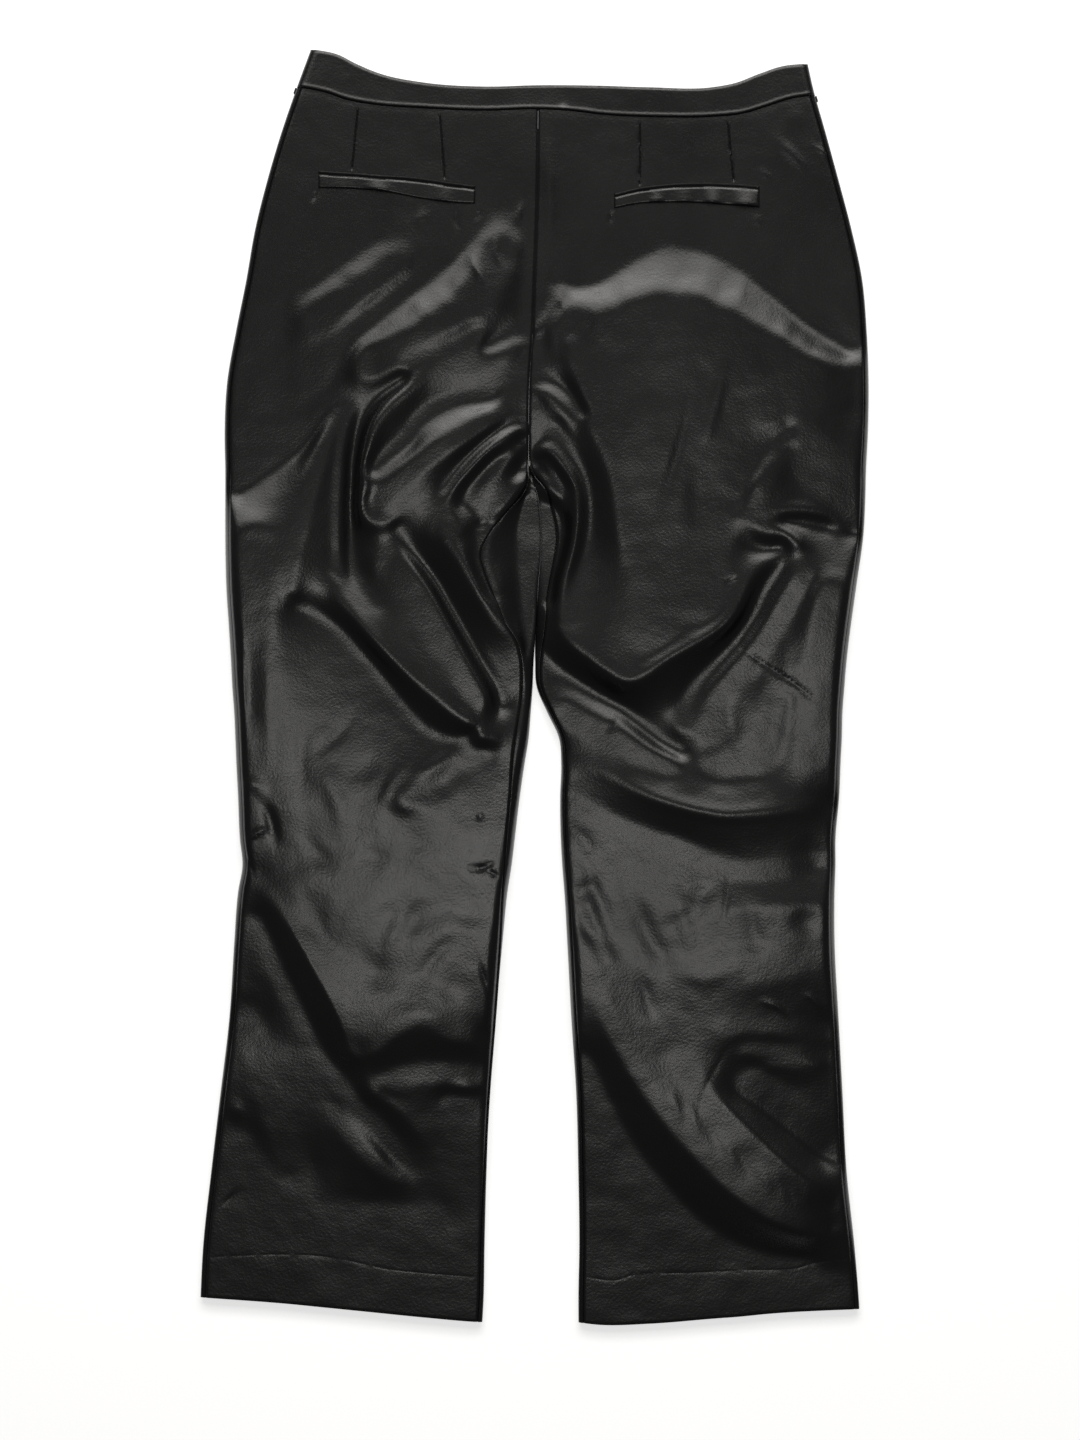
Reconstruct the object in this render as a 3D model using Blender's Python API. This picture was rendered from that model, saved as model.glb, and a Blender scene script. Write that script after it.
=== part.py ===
"""Faux leather trousers, laid flat with the back uppermost.

Metres, +Z up, origin in the middle of the box they lie in, on the surface. The waist is towards +Y.
Every piece is a flat slab of cloth, (across, along, depth), that a function places in space.
"""
from collections import namedtuple
from math import pi

import bmesh
import bpy
import numpy as np
from mathutils import Vector
from mathutils.bvhtree import BVHTree

CM = 0.01
MM = 0.001

# Driving sizes, in metres
WALL = 1.2 * MM              # coated cloth
BAND_WALL = 2.2 * MM         # waistband, cloth folded double
SEAM_GAP = 0.3 * MM
LEG_GAP = 0.8 * MM           # between the two legs, where they lie side by side
SIDE_RISE = 4.0 * MM         # height of the outermost line of a rounded side
UNDER_TURN = 4.5 * MM        # how far a side curls under
SEAM_IN = 3.5 * MM           # side seams lie this far in from the outline, on the upper face
LEAST_LOFT = 5.0 * MM        # two layers with nothing between them
WAIST_NOMINAL = 45.5 * CM
HEM_NOMINAL = -49.0 * CM
CROTCH = 17.3 * CM           # where the centre back seam ends
CROTCH_RUN = 1.2 * CM        # over this length the inner sides become round
HEM_DEPTH = 36.0 * MM        # turned up inside
HEM_CLEAR = 0.7 * MM         # between the turned-up hem and the panels around it
BAND_RAISE = 0.9 * MM        # the waistband stands proud of the panels
FRONT_BAND_DROP = 9.0 * MM   # the front waist is lower in the middle
BAND_GAP = 0.4 * MM          # between the panels' upper ends and the waistband
BAND_SIDE_RISE = 4.4 * MM
BAND_TURN = 8.0 * MM
FLY_SIZE = (38.0 * MM, 158.0 * MM, 1.2 * MM)
FLY_MIDDLE = (-0.9 * CM, 36.0 * CM)
FLY_CORNER = 26.0 * MM
WELT_WALL = 1.1 * MM
WELT_LIFT = 0.6 * MM

# Mesh sizes: faces across and along
BACK_ACROSS = 20
LEG_ALONG = 48
BAND_ALONG = 2
BAND_ACROSS = 40
WELT_FACES = (16, 2)
FRONT_FACES = (2, 3, 4, 3, 3)       # over the side, under it, flat, under and over the inner side
BAND_FRONT_FACES = (1, 4, 3, 2)     # from the middle: flat, flat, under and over the side
HEM_FACES = (16, 16, 2)             # upper face, under face, inner side

# The outline seen from above, a row per height: the outer and inner edge of each leg, in cm.
# Above the crotch both inner edges are the centre seam.
Section = namedtuple("Section", "height left_out left_in right_in right_out")
SECTIONS = [
    Section(-51, -26.5, -4.3, 3.3, 25.5),
    Section(-48, -26.4, -4.13, 3.28, 25.33),
    Section(-44, -26.2, -4.06, 3.35, 25.0),
    Section(-38, -25.55, -3.9, 3.27, 24.37),
    Section(-32, -24.84, -3.66, 3.11, 24.06),
    Section(-26, -24.13, -3.19, 2.72, 23.74),
    Section(-20, -23.74, -2.64, 2.4, 23.43),
    Section(-16, -23.43, -2.24, 2.17, 23.43),
    Section(-14, -23.1, -1.93, 2.01, 23.5),
    Section(-12, -23.3, -1.69, 1.9, 23.5),
    Section(-8.5, -23.45, -1.27, 1.85, 23.8),
    Section(-6, -23.58, -0.91, 1.93, 23.9),
    Section(-4, -23.66, -0.59, 1.75, 24.0),
    Section(-2, -23.75, -0.43, 0.83, 24.05),
    Section(0, -23.9, -0.28, 0.0, 24.2),
    Section(2, -24.0, -0.2, -0.12, 24.37),
    Section(4, -24.12, -0.1, -0.1, 24.6),
    Section(8, -24.37, 0.15, 0.15, 25.15),
    Section(12, -24.45, 0.4, 0.4, 25.7),
    Section(15, -24.45, 0.1, 0.1, 25.85),
    Section(17, -24.45, -0.5, -0.5, 25.9),
    Section(20, -24.5, -0.6, -0.6, 26.05),
    Section(24, -24.3, -0.55, -0.55, 26.1),
    Section(28, -23.6, -0.3, -0.3, 25.95),
    Section(32, -22.8, -0.15, -0.15, 25.6),
    Section(36, -22.1, 0.0, 0.0, 24.75),
    Section(40, -21.1, 0.1, 0.1, 23.7),
    Section(44, -19.9, 0.12, 0.12, 22.6),
    Section(47, -18.86, 0.15, 0.15, 21.75),
    Section(50, -17.75, 0.15, 0.15, 21.1),
]

# The ends of the panels and the waistband's upper edge, a row per place across, in cm
End = namedtuple("End", "across hem waist top")
ENDS = [
    End(-27, -47.9, 47.0, 50.0),
    End(-19, -48.5, 47.0, 50.0),
    End(-17, -48.7, 46.65, 49.65),
    End(-15, -48.9, 46.05, 48.85),
    End(-13, -49.1, 45.7, 48.15),
    End(-9, -49.5, 45.4, 47.4),
    End(-4, -49.9, 45.2, 47.1),
    End(0, -49.9, 45.3, 47.2),
    End(3, -49.9, 45.15, 47.2),
    End(5, -50.1, 44.9, 47.17),
    End(9, -50.0, 44.7, 47.05),
    End(14, -49.6, 44.75, 47.05),
    End(16, -49.45, 44.95, 47.4),
    End(18, -49.25, 45.5, 48.1),
    End(20, -49.1, 46.1, 48.7),
    End(22, -49.0, 46.4, 48.9),
    End(27, -48.8, 46.4, 48.9),
]

# How far the inside leg seam lies in from the inner edge, on the upper face, in cm
Inseam = namedtuple("Inseam", "height left right")
INSEAMS = [
    Inseam(-51, 0.35, 0.35),
    Inseam(-16, 0.36, 0.35),
    Inseam(-12, 0.6, 0.35),
    Inseam(-8, 0.75, 0.35),
    Inseam(-4, 1.05, 0.35),
    Inseam(0, 0.85, 0.35),
    Inseam(2.5, 1.0, 0.38),
    Inseam(4, 1.5, 0.42),
    Inseam(5.5, 2.4, 0.5),
    Inseam(7, 3.1, 0.6),
    Inseam(9, 4.1, 0.85),
    Inseam(11, 4.7, 1.1),
    Inseam(12.5, 4.0, 1.2),
    Inseam(14, 2.7, 1.0),
    Inseam(15.5, 1.2, 0.7),
    Inseam(17, 0.25, 0.2),
    Inseam(18, 0.0, 0.0),
    Inseam(51, 0.0, 0.0),
]

# Where the cloth is raised into a fold or held down between folds: the line's points are
# across and along in cm with the height of the upper face in mm; roundness is in mm.
Fold = namedtuple("Fold", "name roundness line")
FOLDS = [
    Fold("hip left", 10, [(-17, 42, 8), (-12, 43, 8), (-4, 43, 8.5)]),
    Fold("hip right", 10, [(3, 42.5, 8.5), (12, 42, 8), (20, 41, 8)]),
    Fold("hip flat right", 10, [(4, 36.5, 8), (12, 36.5, 8), (21, 33, 8)]),
    Fold("hip side left", 10, [(-20.5, 35, 8), (-21.5, 29, 8.5), (-22, 23, 9)]),
    Fold("seat ridge left", 6, [(-18.2, 30, 11), (-12.8, 32.6, 13.5), (-10.2, 34, 13.5), (-5.5, 39, 9)]),
    Fold("seat crease left", 6, [(-18.6, 21, 9.5), (-14.6, 27.2, 8.5), (-9.8, 31.5, 8), (-4, 37.3, 8)]),
    Fold("seat lower ridge", 6, [(-13.4, 26.7, 14), (-9.6, 27.2, 17.5), (-6, 29.6, 16), (-3.6, 31, 13)]),
    Fold("thigh hook", 6, [(-8.6, 25, 16), (-11.5, 22, 18.5), (-13.3, 18, 19), (-13.7, 14, 18), (-11.2, 13.2, 16)]),
    Fold("thigh trench", 6, [(-12.6, 22.6, 11), (-14.4, 18, 8.5), (-14.6, 12, 7.5), (-13.7, 8.2, 8)]),
    Fold("seat pouch left", 6, [(-12.9, 14.4, 17.5), (-10, 16.7, 20), (-7, 18.9, 20.5), (-3.6, 21, 17.5)]),
    Fold("thigh foot", 6, [(-23.4, 15.4, 9), (-19.5, 17.9, 9), (-16.8, 21, 9.5)]),
    Fold("thigh edge", 6, [(-15.6, 21.2, 11.5), (-17.5, 16.6, 16.5), (-19, 10.6, 19.5), (-19.6, 7, 19.5)]),
    Fold("thigh valley", 6, [(-15.5, 20.5, 10), (-16.6, 14, 11.5), (-17.4, 8.4, 11)]),
    Fold("thigh top", 8, [(-21.5, 11, 19.5), (-21, 3, 20), (-20.6, -2, 19), (-20.4, -7, 18)]),
    Fold("upper terrace", 6, [(-16, 8.6, 16), (-12.5, 3.5, 20), (-9.5, 0.4, 20),
        (-6.5, -2, 20), (-3.4, -4.1, 16)]),
    Fold("upper terrace foot", 6, [(-18.8, 7, 13), (-14.4, 2.8, 11.5), (-11.7, -0.6, 11.5),
        (-9, -3, 12.5), (-6, -4, 13.5)]),
    Fold("lower terrace", 8, [(-17, 0, 15.5), (-14, -4, 15.5), (-9.5, -7, 15.5), (-5.5, -8, 15.5)]),
    Fold("inner ridge", 6, [(-12.2, 10.5, 16.5), (-8.4, 6.2, 18.5), (-5.6, 1.6, 18.5), (-3.6, -2.4, 17.5)]),
    Fold("inner valley", 6, [(-10.7, 12.4, 13), (-7.8, 8, 9), (-5.6, 4, 9), (-3.6, 0.4, 9)]),
    Fold("crotch ridge left", 5, [(-8, 12.2, 16), (-5.9, 9.9, 19), (-3.7, 6, 18), (-1.8, 3.7, 14), (-1.5, 0, 10)]),
    Fold("crotch fold left", 5, [(-0.8, 20.2, 14), (-4.3, 18, 17.5), (-6.9, 14.9, 16.5), (-5.9, 12.3, 16.5)]),
    Fold("inner thigh left", 5, [(-0.6, 14.8, 5), (-3.4, 11.4, 6), (-1.8, 8, 7), (-1, 5, 7)]),
    Fold("centre seam", 6, [(0.1, 44.5, 9), (0.1, 36, 9), (-0.3, 28, 11), (-0.6, 21.5, 12.5), (-0.4, 16.8, 6)]),
    Fold("seat rise foot", 6, [(1.6, 32, 9), (6, 32.7, 8.5), (10.3, 35, 8.5), (15.5, 33.7, 8.5), (24.6, 26.8, 8.5)]),
    Fold("seat rise top", 6, [(2.4, 29, 13.5), (7, 29.7, 16), (14, 29.4, 17), (20, 26, 17), (25, 24.3, 12)]),
    Fold("seat side slope", 6, [(2.8, 27, 15.5), (4.2, 22, 17), (6.4, 16, 18.5), (7.1, 10.5, 18), (6.9, 8.6, 17)]),
    Fold("seat side foot", 6, [(1.6, 20.3, 12), (3.6, 16.6, 11), (4.1, 14, 10.5), (3.8, 9.5, 11)]),
    Fold("crotch loop right", 5, [(0.8, 18.6, 13.5), (3.05, 15.8, 15), (3.1, 12, 15.5), (1.8, 7.2, 16), (2, 4.8, 17.5)]),
    Fold("inner thigh right", 4, [(0.9, 14, 5), (1.5, 11, 5), (0.7, 7, 7)]),
    Fold("seat pouch inner", 10, [(10, 26, 17.5), (9.5, 20, 18.5), (10, 13, 19), (9, 4, 20)]),
    Fold("seat pouch outer", 10, [(16, 24, 17.5), (20, 20, 16.5), (22, 17, 15)]),
    Fold("seat pouch low", 8, [(13.6, 15, 18.5), (13.4, 10, 19), (13, 6, 19.5)]),
    Fold("pouch rim", 6, [(2, 4.4, 18.5), (7, 0.5, 22), (10, 2.1, 22), (14, 4.4, 21.5), (16.8, 8.7, 18.5), (19.1, 10.1, 15)]),
    Fold("rim trench", 6, [(0.3, 2.6, 8), (3.6, 0.1, 8), (6.9, -1.8, 8), (11.2, -5, 10)]),
    Fold("small ridge", 6, [(2.2, -1.2, 10.5), (5.6, -3, 13), (8.6, -5.3, 14.5), (12.2, -5.8, 16)]),
    Fold("small trough", 6, [(1.8, -3.6, 8), (5.4, -5.4, 9), (10.6, -7.7, 12.5)]),
    Fold("rim trench right", 6, [(18.6, 9.2, 12), (16.9, 5.6, 9.5), (13.9, 1.9, 9), (11.4, -1.4, 10.5)]),
    Fold("thigh slope right", 8, [(24, 8.6, 17), (21.2, 4, 20.5), (18.6, -3, 19.5), (14, -5.8, 19)]),
    Fold("thigh flat right", 8, [(21.8, -1.5, 19.5), (21.8, -5, 19.5), (14, -8.6, 19.5)]),
    Fold("side hook", 6, [(15.9, 13.2, 18.5), (18.1, 12.4, 17.5), (20.4, 11, 15.5), (20.2, 8.7, 13.5)]),
    Fold("knee fold", 6, [(1.9, -5, 10), (6.3, -7.2, 16), (12.4, -9.6, 20.5),
        (19, -9.7, 20), (23.2, -9.1, 10)]),
    Fold("knee trough", 6, [(2.3, -9.6, 11), (8.2, -13, 13.5), (15.2, -14.6, 13.5), (21.6, -13.6, 11)]),
    Fold("knee hump right", 8, [(10.6, -22.2, 16.5), (16, -21.4, 17), (21, -20.5, 14)]),
    Fold("under the knee", 8, [(13.5, -28, 13), (20.5, -31.5, 10.5), (18, -33, 9.5), (21, -35.5, 9)]),
    Fold("long diagonal", 6, [(2.6, -18.5, 14), (6.3, -26, 19.5), (10.8, -33.4, 22),
        (18, -40.5, 20), (22.8, -41.8, 13)]),
    Fold("diagonal foot", 6, [(9.4, -24.3, 15), (14.4, -30.8, 10.5), (19.2, -36, 9), (23.2, -38.6, 8)]),
    Fold("diagonal valley", 6, [(3.5, -26.3, 9), (7.8, -34, 8), (13.6, -41.4, 8), (21, -44.8, 8)]),
    Fold("shin right", 8, [(4.6, -36, 9.5), (6.5, -40, 9), (5.5, -44, 8)]),
    Fold("hem right", 8, [(5, -48.2, 8), (14, -47.6, 8), (23.6, -47.2, 8)]),
    Fold("knee level left", 10, [(-17, -17, 18), (-12, -20, 18.5), (-6, -21, 18)]),
    Fold("knee hump left", 6, [(-13.9, -28.6, 19), (-11, -26.8, 21.5), (-8.2, -26.2, 21),
        (-3.9, -27.5, 12.5)]),
    Fold("shin drop", 6, [(-12.4, -31.3, 15.5), (-9.5, -30.3, 15), (-4.2, -30.6, 10.5)]),
    Fold("long ridge", 6, [(-21.9, -14.6, 15), (-18.2, -20.4, 19.5), (-15, -26.2, 20.5),
        (-14.4, -28.4, 19.5)]),
    Fold("long ridge foot", 6, [(-22, -18.6, 12.5), (-19, -25, 11.5), (-14.6, -32, 11.5), (-10, -38.2, 8)]),
    Fold("side band", 6, [(-22.6, -26.2, 9.5), (-20.8, -32, 12), (-18.6, -38, 8.5)]),
    Fold("shin band", 6, [(-16.2, -33, 11), (-14.4, -35.4, 12), (-10.6, -38.4, 9.5)]),
    Fold("shin left", 8, [(-22, -40.5, 8), (-17, -41.5, 8), (-8, -42, 8)]),
    Fold("hem left", 8, [(-24, -46.6, 8), (-15, -47.2, 8), (-6, -48, 8)]),
]

# Back pocket welts: place across, lower and upper edge, in cm
Welt = namedtuple("Welt", "across lower upper")
WELTS = {
    "left": [
        Welt(-17.1, 39.15, 40.5),
        Welt(-14, 39.05, 40.3),
        Welt(-12, 38.85, 40.15),
        Welt(-9, 38.3, 39.9),
        Welt(-7, 38.0, 39.6),
        Welt(-4.8, 37.9, 39.3),
    ],
    "right": [
        Welt(6.1, 37.55, 38.7),
        Welt(8, 37.9, 39.15),
        Welt(10.5, 38.0, 39.45),
        Welt(13, 37.95, 39.55),
        Welt(15, 37.8, 39.5),
        Welt(17.5, 37.6, 39.3),
    ],
}

# Colours: the coated face, and the plainer cloth of what lies inside
FACE_COLOUR = (0.0065, 0.0065, 0.0066, 1.0)
INSIDE_COLOUR = (0.018, 0.018, 0.019, 1.0)


# ---- curves through the tables ----

def through(places, values, at):
    """Smooth curve through a table's column, read at any place."""
    slope = np.gradient(values, places)
    at = np.clip(at, places[0], places[-1])
    i = np.clip(np.searchsorted(places, at, side="right") - 1, 0, len(places) - 2)
    run = places[i + 1] - places[i]
    t = (at - places[i]) / run
    start = (1 + 2 * t) * (1 - t) ** 2 * values[i] + t * (1 - t) ** 2 * run * slope[i]
    end = t * t * (3 - 2 * t) * values[i + 1] + t * t * (t - 1) * run * slope[i + 1]
    return start + end


def column(table, key, name, at):
    """A table's column as metres, read along its key column."""
    places = np.array([getattr(row, key) for row in table]) * CM
    values = np.array([getattr(row, name) for row in table]) * CM
    return through(places, values, at)


def outline(name, y):
    return column(SECTIONS, "height", name, y)


def end_line(name, x):
    return column(ENDS, "across", name, x)


def blend(a, b, t):
    return a + (b - a) * t


def ease(t):
    t = np.clip(t, 0, 1)
    return t * t * (3 - 2 * t)


def fold_line(points, step=0.4):
    """Catmull-Rom curve through a fold's points, a sample about every step cm."""
    p = np.array(points, float)
    q = np.vstack([2 * p[0] - p[1], p, 2 * p[-1] - p[-2]])
    samples = []
    for a, b, c, d in zip(q, q[1:], q[2:], q[3:]):
        count = max(2, int(np.hypot(*(c - b)[:2]) / step))
        t = np.linspace(0, 1, count, endpoint=False)[:, None]
        samples.append(0.5 * (2 * b + (c - a) * t + (2 * a - 5 * b + 4 * c - d) * t ** 2
                              + (3 * b - a - 3 * c + d) * t ** 3))
    samples.append(p[-1:])
    return np.vstack(samples)


# ---- the folds: cloth settled over its ridges and into its valleys ----

class FoldedFace:
    """Height of the cloth's upper face over the plan, held at the folds and relaxed between them."""

    WEST, EAST, SOUTH, NORTH = -28.0, 28.0, -52.0, 52.0     # cm
    SPACING = 0.5                                           # cm
    HOLD = 6.0                                              # pull of a fold on its own line
    REST_HEIGHT = 8.0                                       # mm
    REACH = 25.0                                            # cm, how slowly a fold fades out

    def __init__(self, passes=(500, 300, 200)):
        lines = [(fold.roundness, fold_line(fold.line)) for fold in FOLDS]
        height = None
        for level, count in enumerate(passes):
            spacing = self.SPACING * 2 ** (len(passes) - 1 - level)
            xs = np.linspace(self.WEST, self.EAST, int((self.EAST - self.WEST) / spacing) + 1)
            ys = np.linspace(self.SOUTH, self.NORTH, int((self.NORTH - self.SOUTH) / spacing) + 1)
            hold, goal = self.fold_pull(lines, xs, ys, spacing)
            if height is None:
                height = np.full(hold.shape, self.REST_HEIGHT)
            else:
                height = self.finer(height, hold.shape)
            height = self.settle(height, self.cloth_mask(xs, ys, spacing), hold, goal, spacing, count)
        self.spacing = spacing
        self.height = height

    def cloth_mask(self, xs, ys, spacing):
        x, y = np.meshgrid(xs, ys)
        left_out, left_in, right_in, right_out = (
            outline(name, ys * CM)[:, None] / CM for name in Section._fields[1:])
        cloth = (x > left_out - spacing) & (x < right_out + spacing)
        between_legs = (x > left_in + spacing / 2) & (x < right_in - spacing / 2)
        return (cloth & ~between_legs).astype(float)

    def fold_pull(self, lines, xs, ys, spacing):
        x, y = np.meshgrid(xs, ys)
        hold = np.zeros(x.shape)
        goal = np.zeros(x.shape)
        for roundness, line in lines:
            width = max(roundness * 0.1, 0.6 * spacing)
            away = (x[..., None] - line[:, 0]) ** 2 + (y[..., None] - line[:, 1]) ** 2
            nearest = away.argmin(-1)
            pull = self.HOLD * np.exp(-away.min(-1) / width ** 2)
            hold += pull
            goal += pull * line[nearest, 2]
        return hold, goal

    def settle(self, height, mask, hold, goal, spacing, count):
        """Each point moves to the mean of its neighbours, the folds and the rest height."""
        rest = (spacing / self.REACH) ** 2 / 4
        near = np.pad(mask, 1)
        neighbours = near[1:-1, :-2] + near[1:-1, 2:] + near[:-2, 1:-1] + near[2:, 1:-1]
        for _ in range(count):
            h = np.pad(height * mask, 1)
            total = h[1:-1, :-2] + h[1:-1, 2:] + h[:-2, 1:-1] + h[2:, 1:-1]
            mean = np.where(neighbours > 0, total / np.maximum(neighbours, 1), height)
            height = (mean + rest * self.REST_HEIGHT + goal) / (1 + rest + hold)
        return height

    @staticmethod
    def finer(height, shape):
        rows = np.linspace(0, height.shape[0] - 1, shape[0])
        cols = np.linspace(0, height.shape[1] - 1, shape[1])
        tall = np.array([np.interp(rows, np.arange(height.shape[0]), c) for c in height.T]).T
        return np.array([np.interp(cols, np.arange(height.shape[1]), r) for r in tall])

    def at(self, x, y):
        """Height in metres at plan points in metres, smoothed by a cubic B-spline."""
        fx = (x / CM - self.WEST) / self.spacing
        fy = (y / CM - self.SOUTH) / self.spacing
        i = np.clip(np.floor(fx).astype(int), 1, self.height.shape[1] - 3)
        j = np.clip(np.floor(fy).astype(int), 1, self.height.shape[0] - 3)
        across = spline_weights(np.clip(fx - i, 0, 1))
        along = spline_weights(np.clip(fy - j, 0, 1))
        total = 0.0
        for b in range(4):
            for a in range(4):
                total = total + along[b] * across[a] * self.height[j + b - 1, i + a - 1]
        return np.maximum(total * MM, LEAST_LOFT)


def spline_weights(t):
    return ((1 - t) ** 3 / 6, (3 * t ** 3 - 6 * t ** 2 + 4) / 6,
            (-3 * t ** 3 + 3 * t ** 2 + 3 * t + 1) / 6, t ** 3 / 6)


# ---- one leg with its half of the hips ----

class Leg:
    """The closed form of one leg: rounded sides, a folded upper face and a flat under face."""

    def __init__(self, side, folded):
        self.side = side
        self.sign = -1 if side == "left" else 1
        self.folded = folded

    def edges(self, y):
        outer = outline(self.side + "_out", y)
        inner = outline(self.side + "_in", y) + self.sign * LEG_GAP / 2 * ease((CROTCH - y) / CROTCH_RUN)
        return outer, inner

    def plan(self, across, along):
        """Plan point at a fraction across, from the outer to the inner edge, and along, hem to waist."""
        hem_x = blend(*self.edges(HEM_NOMINAL), across)
        waist_x = blend(*self.edges(WAIST_NOMINAL), across)
        y = blend(end_line("hem", hem_x), end_line("waist", waist_x), along)
        outer, inner = self.edges(y)
        return blend(outer, inner, across), y

    def seams(self, along):
        """Fractions across at which the side seam and the inner seam lie."""
        y = blend(HEM_NOMINAL, WAIST_NOMINAL, along)
        outer, inner = self.edges(y)
        width = np.abs(inner - outer)
        inseam = np.maximum(column(INSEAMS, "height", self.side, y), 0)
        return (SEAM_IN + 0 * y) / width, 1 - inseam / width, width

    def upper(self, x, y):
        """Upper face, rounded down to the side line at both edges."""
        outer, inner = self.edges(y)
        top = self.folded.at(x, y)
        turn = np.clip(0.6 * top, 7 * MM, 15 * MM)
        outside = round_over(np.abs(x - outer) / turn)
        inside = round_over(np.abs(x - inner) / turn)
        inside = blend(1.0, inside, ease((CROTCH - y) / CROTCH_RUN))
        return SIDE_RISE + (top - SIDE_RISE) * outside * inside

    def lower(self, x, y):
        """Under face: flat on the surface, rising to the side line at both edges."""
        outer, inner = self.edges(y)
        outside = round_over(np.abs(x - outer) / UNDER_TURN)
        inside = round_over(np.abs(x - inner) / UNDER_TURN)
        inside = blend(1.0, inside, ease((CROTCH - y) / CROTCH_RUN))
        return SIDE_RISE * (1 - outside * inside)

    def back(self, u, v):
        """Back panel: u runs from the side seam to the centre and inside leg seam."""
        side_seam, inner_seam, width = self.seams(v)
        half_gap = SEAM_GAP / 2 / width
        across = blend(side_seam + half_gap, inner_seam - half_gap, u)
        x, y = self.plan(across, v)
        return x, y, self.upper(x, y)

    def front(self, u, v):
        """Front panel: u runs over the side, flat across the under face and up to the inner seam."""
        side_seam, inner_seam, width = self.seams(v)
        half_gap = SEAM_GAP / 2 / width
        under = UNDER_TURN / width
        zone, t = zones(u, FRONT_FACES)
        # above the crotch the front stays flat up to the centre seam
        opened = ease((CROTCH - blend(HEM_NOMINAL, WAIST_NOMINAL, v)) / CROTCH_RUN)
        centre = blend(1 - half_gap, 1.0, opened)
        across = np.choose(zone, [
            (side_seam - half_gap) * (1 - t) ** 2,
            under * t * t,
            blend(under, centre - under * (2 - opened), t),
            centre - under * blend(2 - t, (1 - t) ** 2, opened),
            centre - blend(under * (1 - t), (1 - inner_seam - half_gap) * t * t, opened),
        ])
        x, y = self.plan(across, v)
        upper, lower = self.upper(x, y), self.lower(x, y)
        z = np.choose(zone, [upper, lower, lower, lower, blend(0.0, upper, opened)])
        return x, y, z


def zones(u, faces):
    """Which stretch of the way round a fraction is in, and how far along that stretch."""
    ends = np.cumsum((0,) + faces) / sum(faces)
    zone = np.clip(np.searchsorted(ends, u, side="right") - 1, 0, len(faces) - 1)
    return zone, (u - ends[zone]) / (ends[zone + 1] - ends[zone])


def round_over(q):
    """Quarter circle: 0 on the side line, 1 where the face has levelled out."""
    q = np.clip(q, 0, 1)
    return np.sqrt(np.clip(1 - (1 - q) ** 2, 0, 1))


class Waistband:
    """The band all round the waist, above the panels.

    Places on it run from -1 at the left side line to 1 at the right one, with 0 in the middle.
    """

    def __init__(self, legs, folded):
        self.legs = legs
        self.folded = folded

    def across(self, place, y):
        """Across in metres, and the distance from the side line."""
        left_outer, centre = self.legs[0].edges(y)
        right_outer, _ = self.legs[1].edges(y)
        side = np.where(place < 0, left_outer, right_outer)
        return blend(centre, side, np.abs(place)), np.abs(side - centre) * (1 - np.abs(place))

    def surface(self, place, along, drop, over):
        low_x, _ = self.across(place, WAIST_NOMINAL)
        low = end_line("waist", low_x) + BAND_GAP
        high = end_line("top", low_x) - drop * np.cos(pi / 2 * place)
        y = blend(low, high, along)
        x, inward = self.across(place, y)
        top = self.folded.at(x, y) + BAND_RAISE
        upper = BAND_SIDE_RISE + (top - BAND_SIDE_RISE) * round_over(inward / BAND_TURN)
        lower = BAND_SIDE_RISE * (1 - round_over(inward / UNDER_TURN))
        return x, y, np.where(over, upper, lower)

    def half_width(self, place):
        ends = np.abs([self.across(end, WAIST_NOMINAL)[0] for end in (-1, 0, 1)])
        return np.where(place < 0, ends[0] + ends[1], ends[2] - ends[1])

    def back(self, u, v):
        place = 2 * u - 1
        seam = (SEAM_IN + SEAM_GAP / 2) / self.half_width(place)
        return self.surface(place * (1 - seam), v, 0.0, True)

    def front(self, u, v):
        place = 2 * u - 1
        width = self.half_width(place)
        seam = (SEAM_IN - SEAM_GAP / 2) / width
        under = UNDER_TURN / width
        zone, t = zones(np.abs(place), BAND_FRONT_FACES)
        reach = np.choose(zone, [
            2 * under * t,
            blend(2 * under, 1 - under, t),
            1 - under * (1 - t) ** 2,
            1 - seam * t * t,
        ])
        return self.surface(np.sign(place) * reach, v, FRONT_BAND_DROP, zone == 3)


# ---- building the pieces ----

def new_object(name, bm, material, collection):
    mesh = bpy.data.meshes.new(name)
    bm.to_mesh(mesh)
    bm.free()
    mesh.materials.append(material)
    piece = bpy.data.objects.new(name, mesh)
    collection.objects.link(piece)
    return piece


def slab(faces_across, faces_along):
    """A flat unit slab, subdivided, whose depth is 0 on its face and 1 on its inside."""
    bm = bmesh.new()
    bmesh.ops.create_grid(bm, x_segments=faces_across, y_segments=faces_along, size=0.5)
    face = bm.faces[:] + bm.edges[:] + bm.verts[:]
    bmesh.ops.solidify(bm, geom=face, thickness=1.0)
    bmesh.ops.recalc_face_normals(bm, faces=bm.faces)
    return bm


def outward(form, u, v, sign, step=1e-4):
    """Unit normals of a form by small steps along it."""
    du = np.array(form(u + step, v)) - np.array(form(u - step, v))
    dv = np.array(form(u, v + step)) - np.array(form(u, v - step))
    normal = np.cross(du, dv, axis=0) * sign
    return normal / np.linalg.norm(normal, axis=0)


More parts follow.
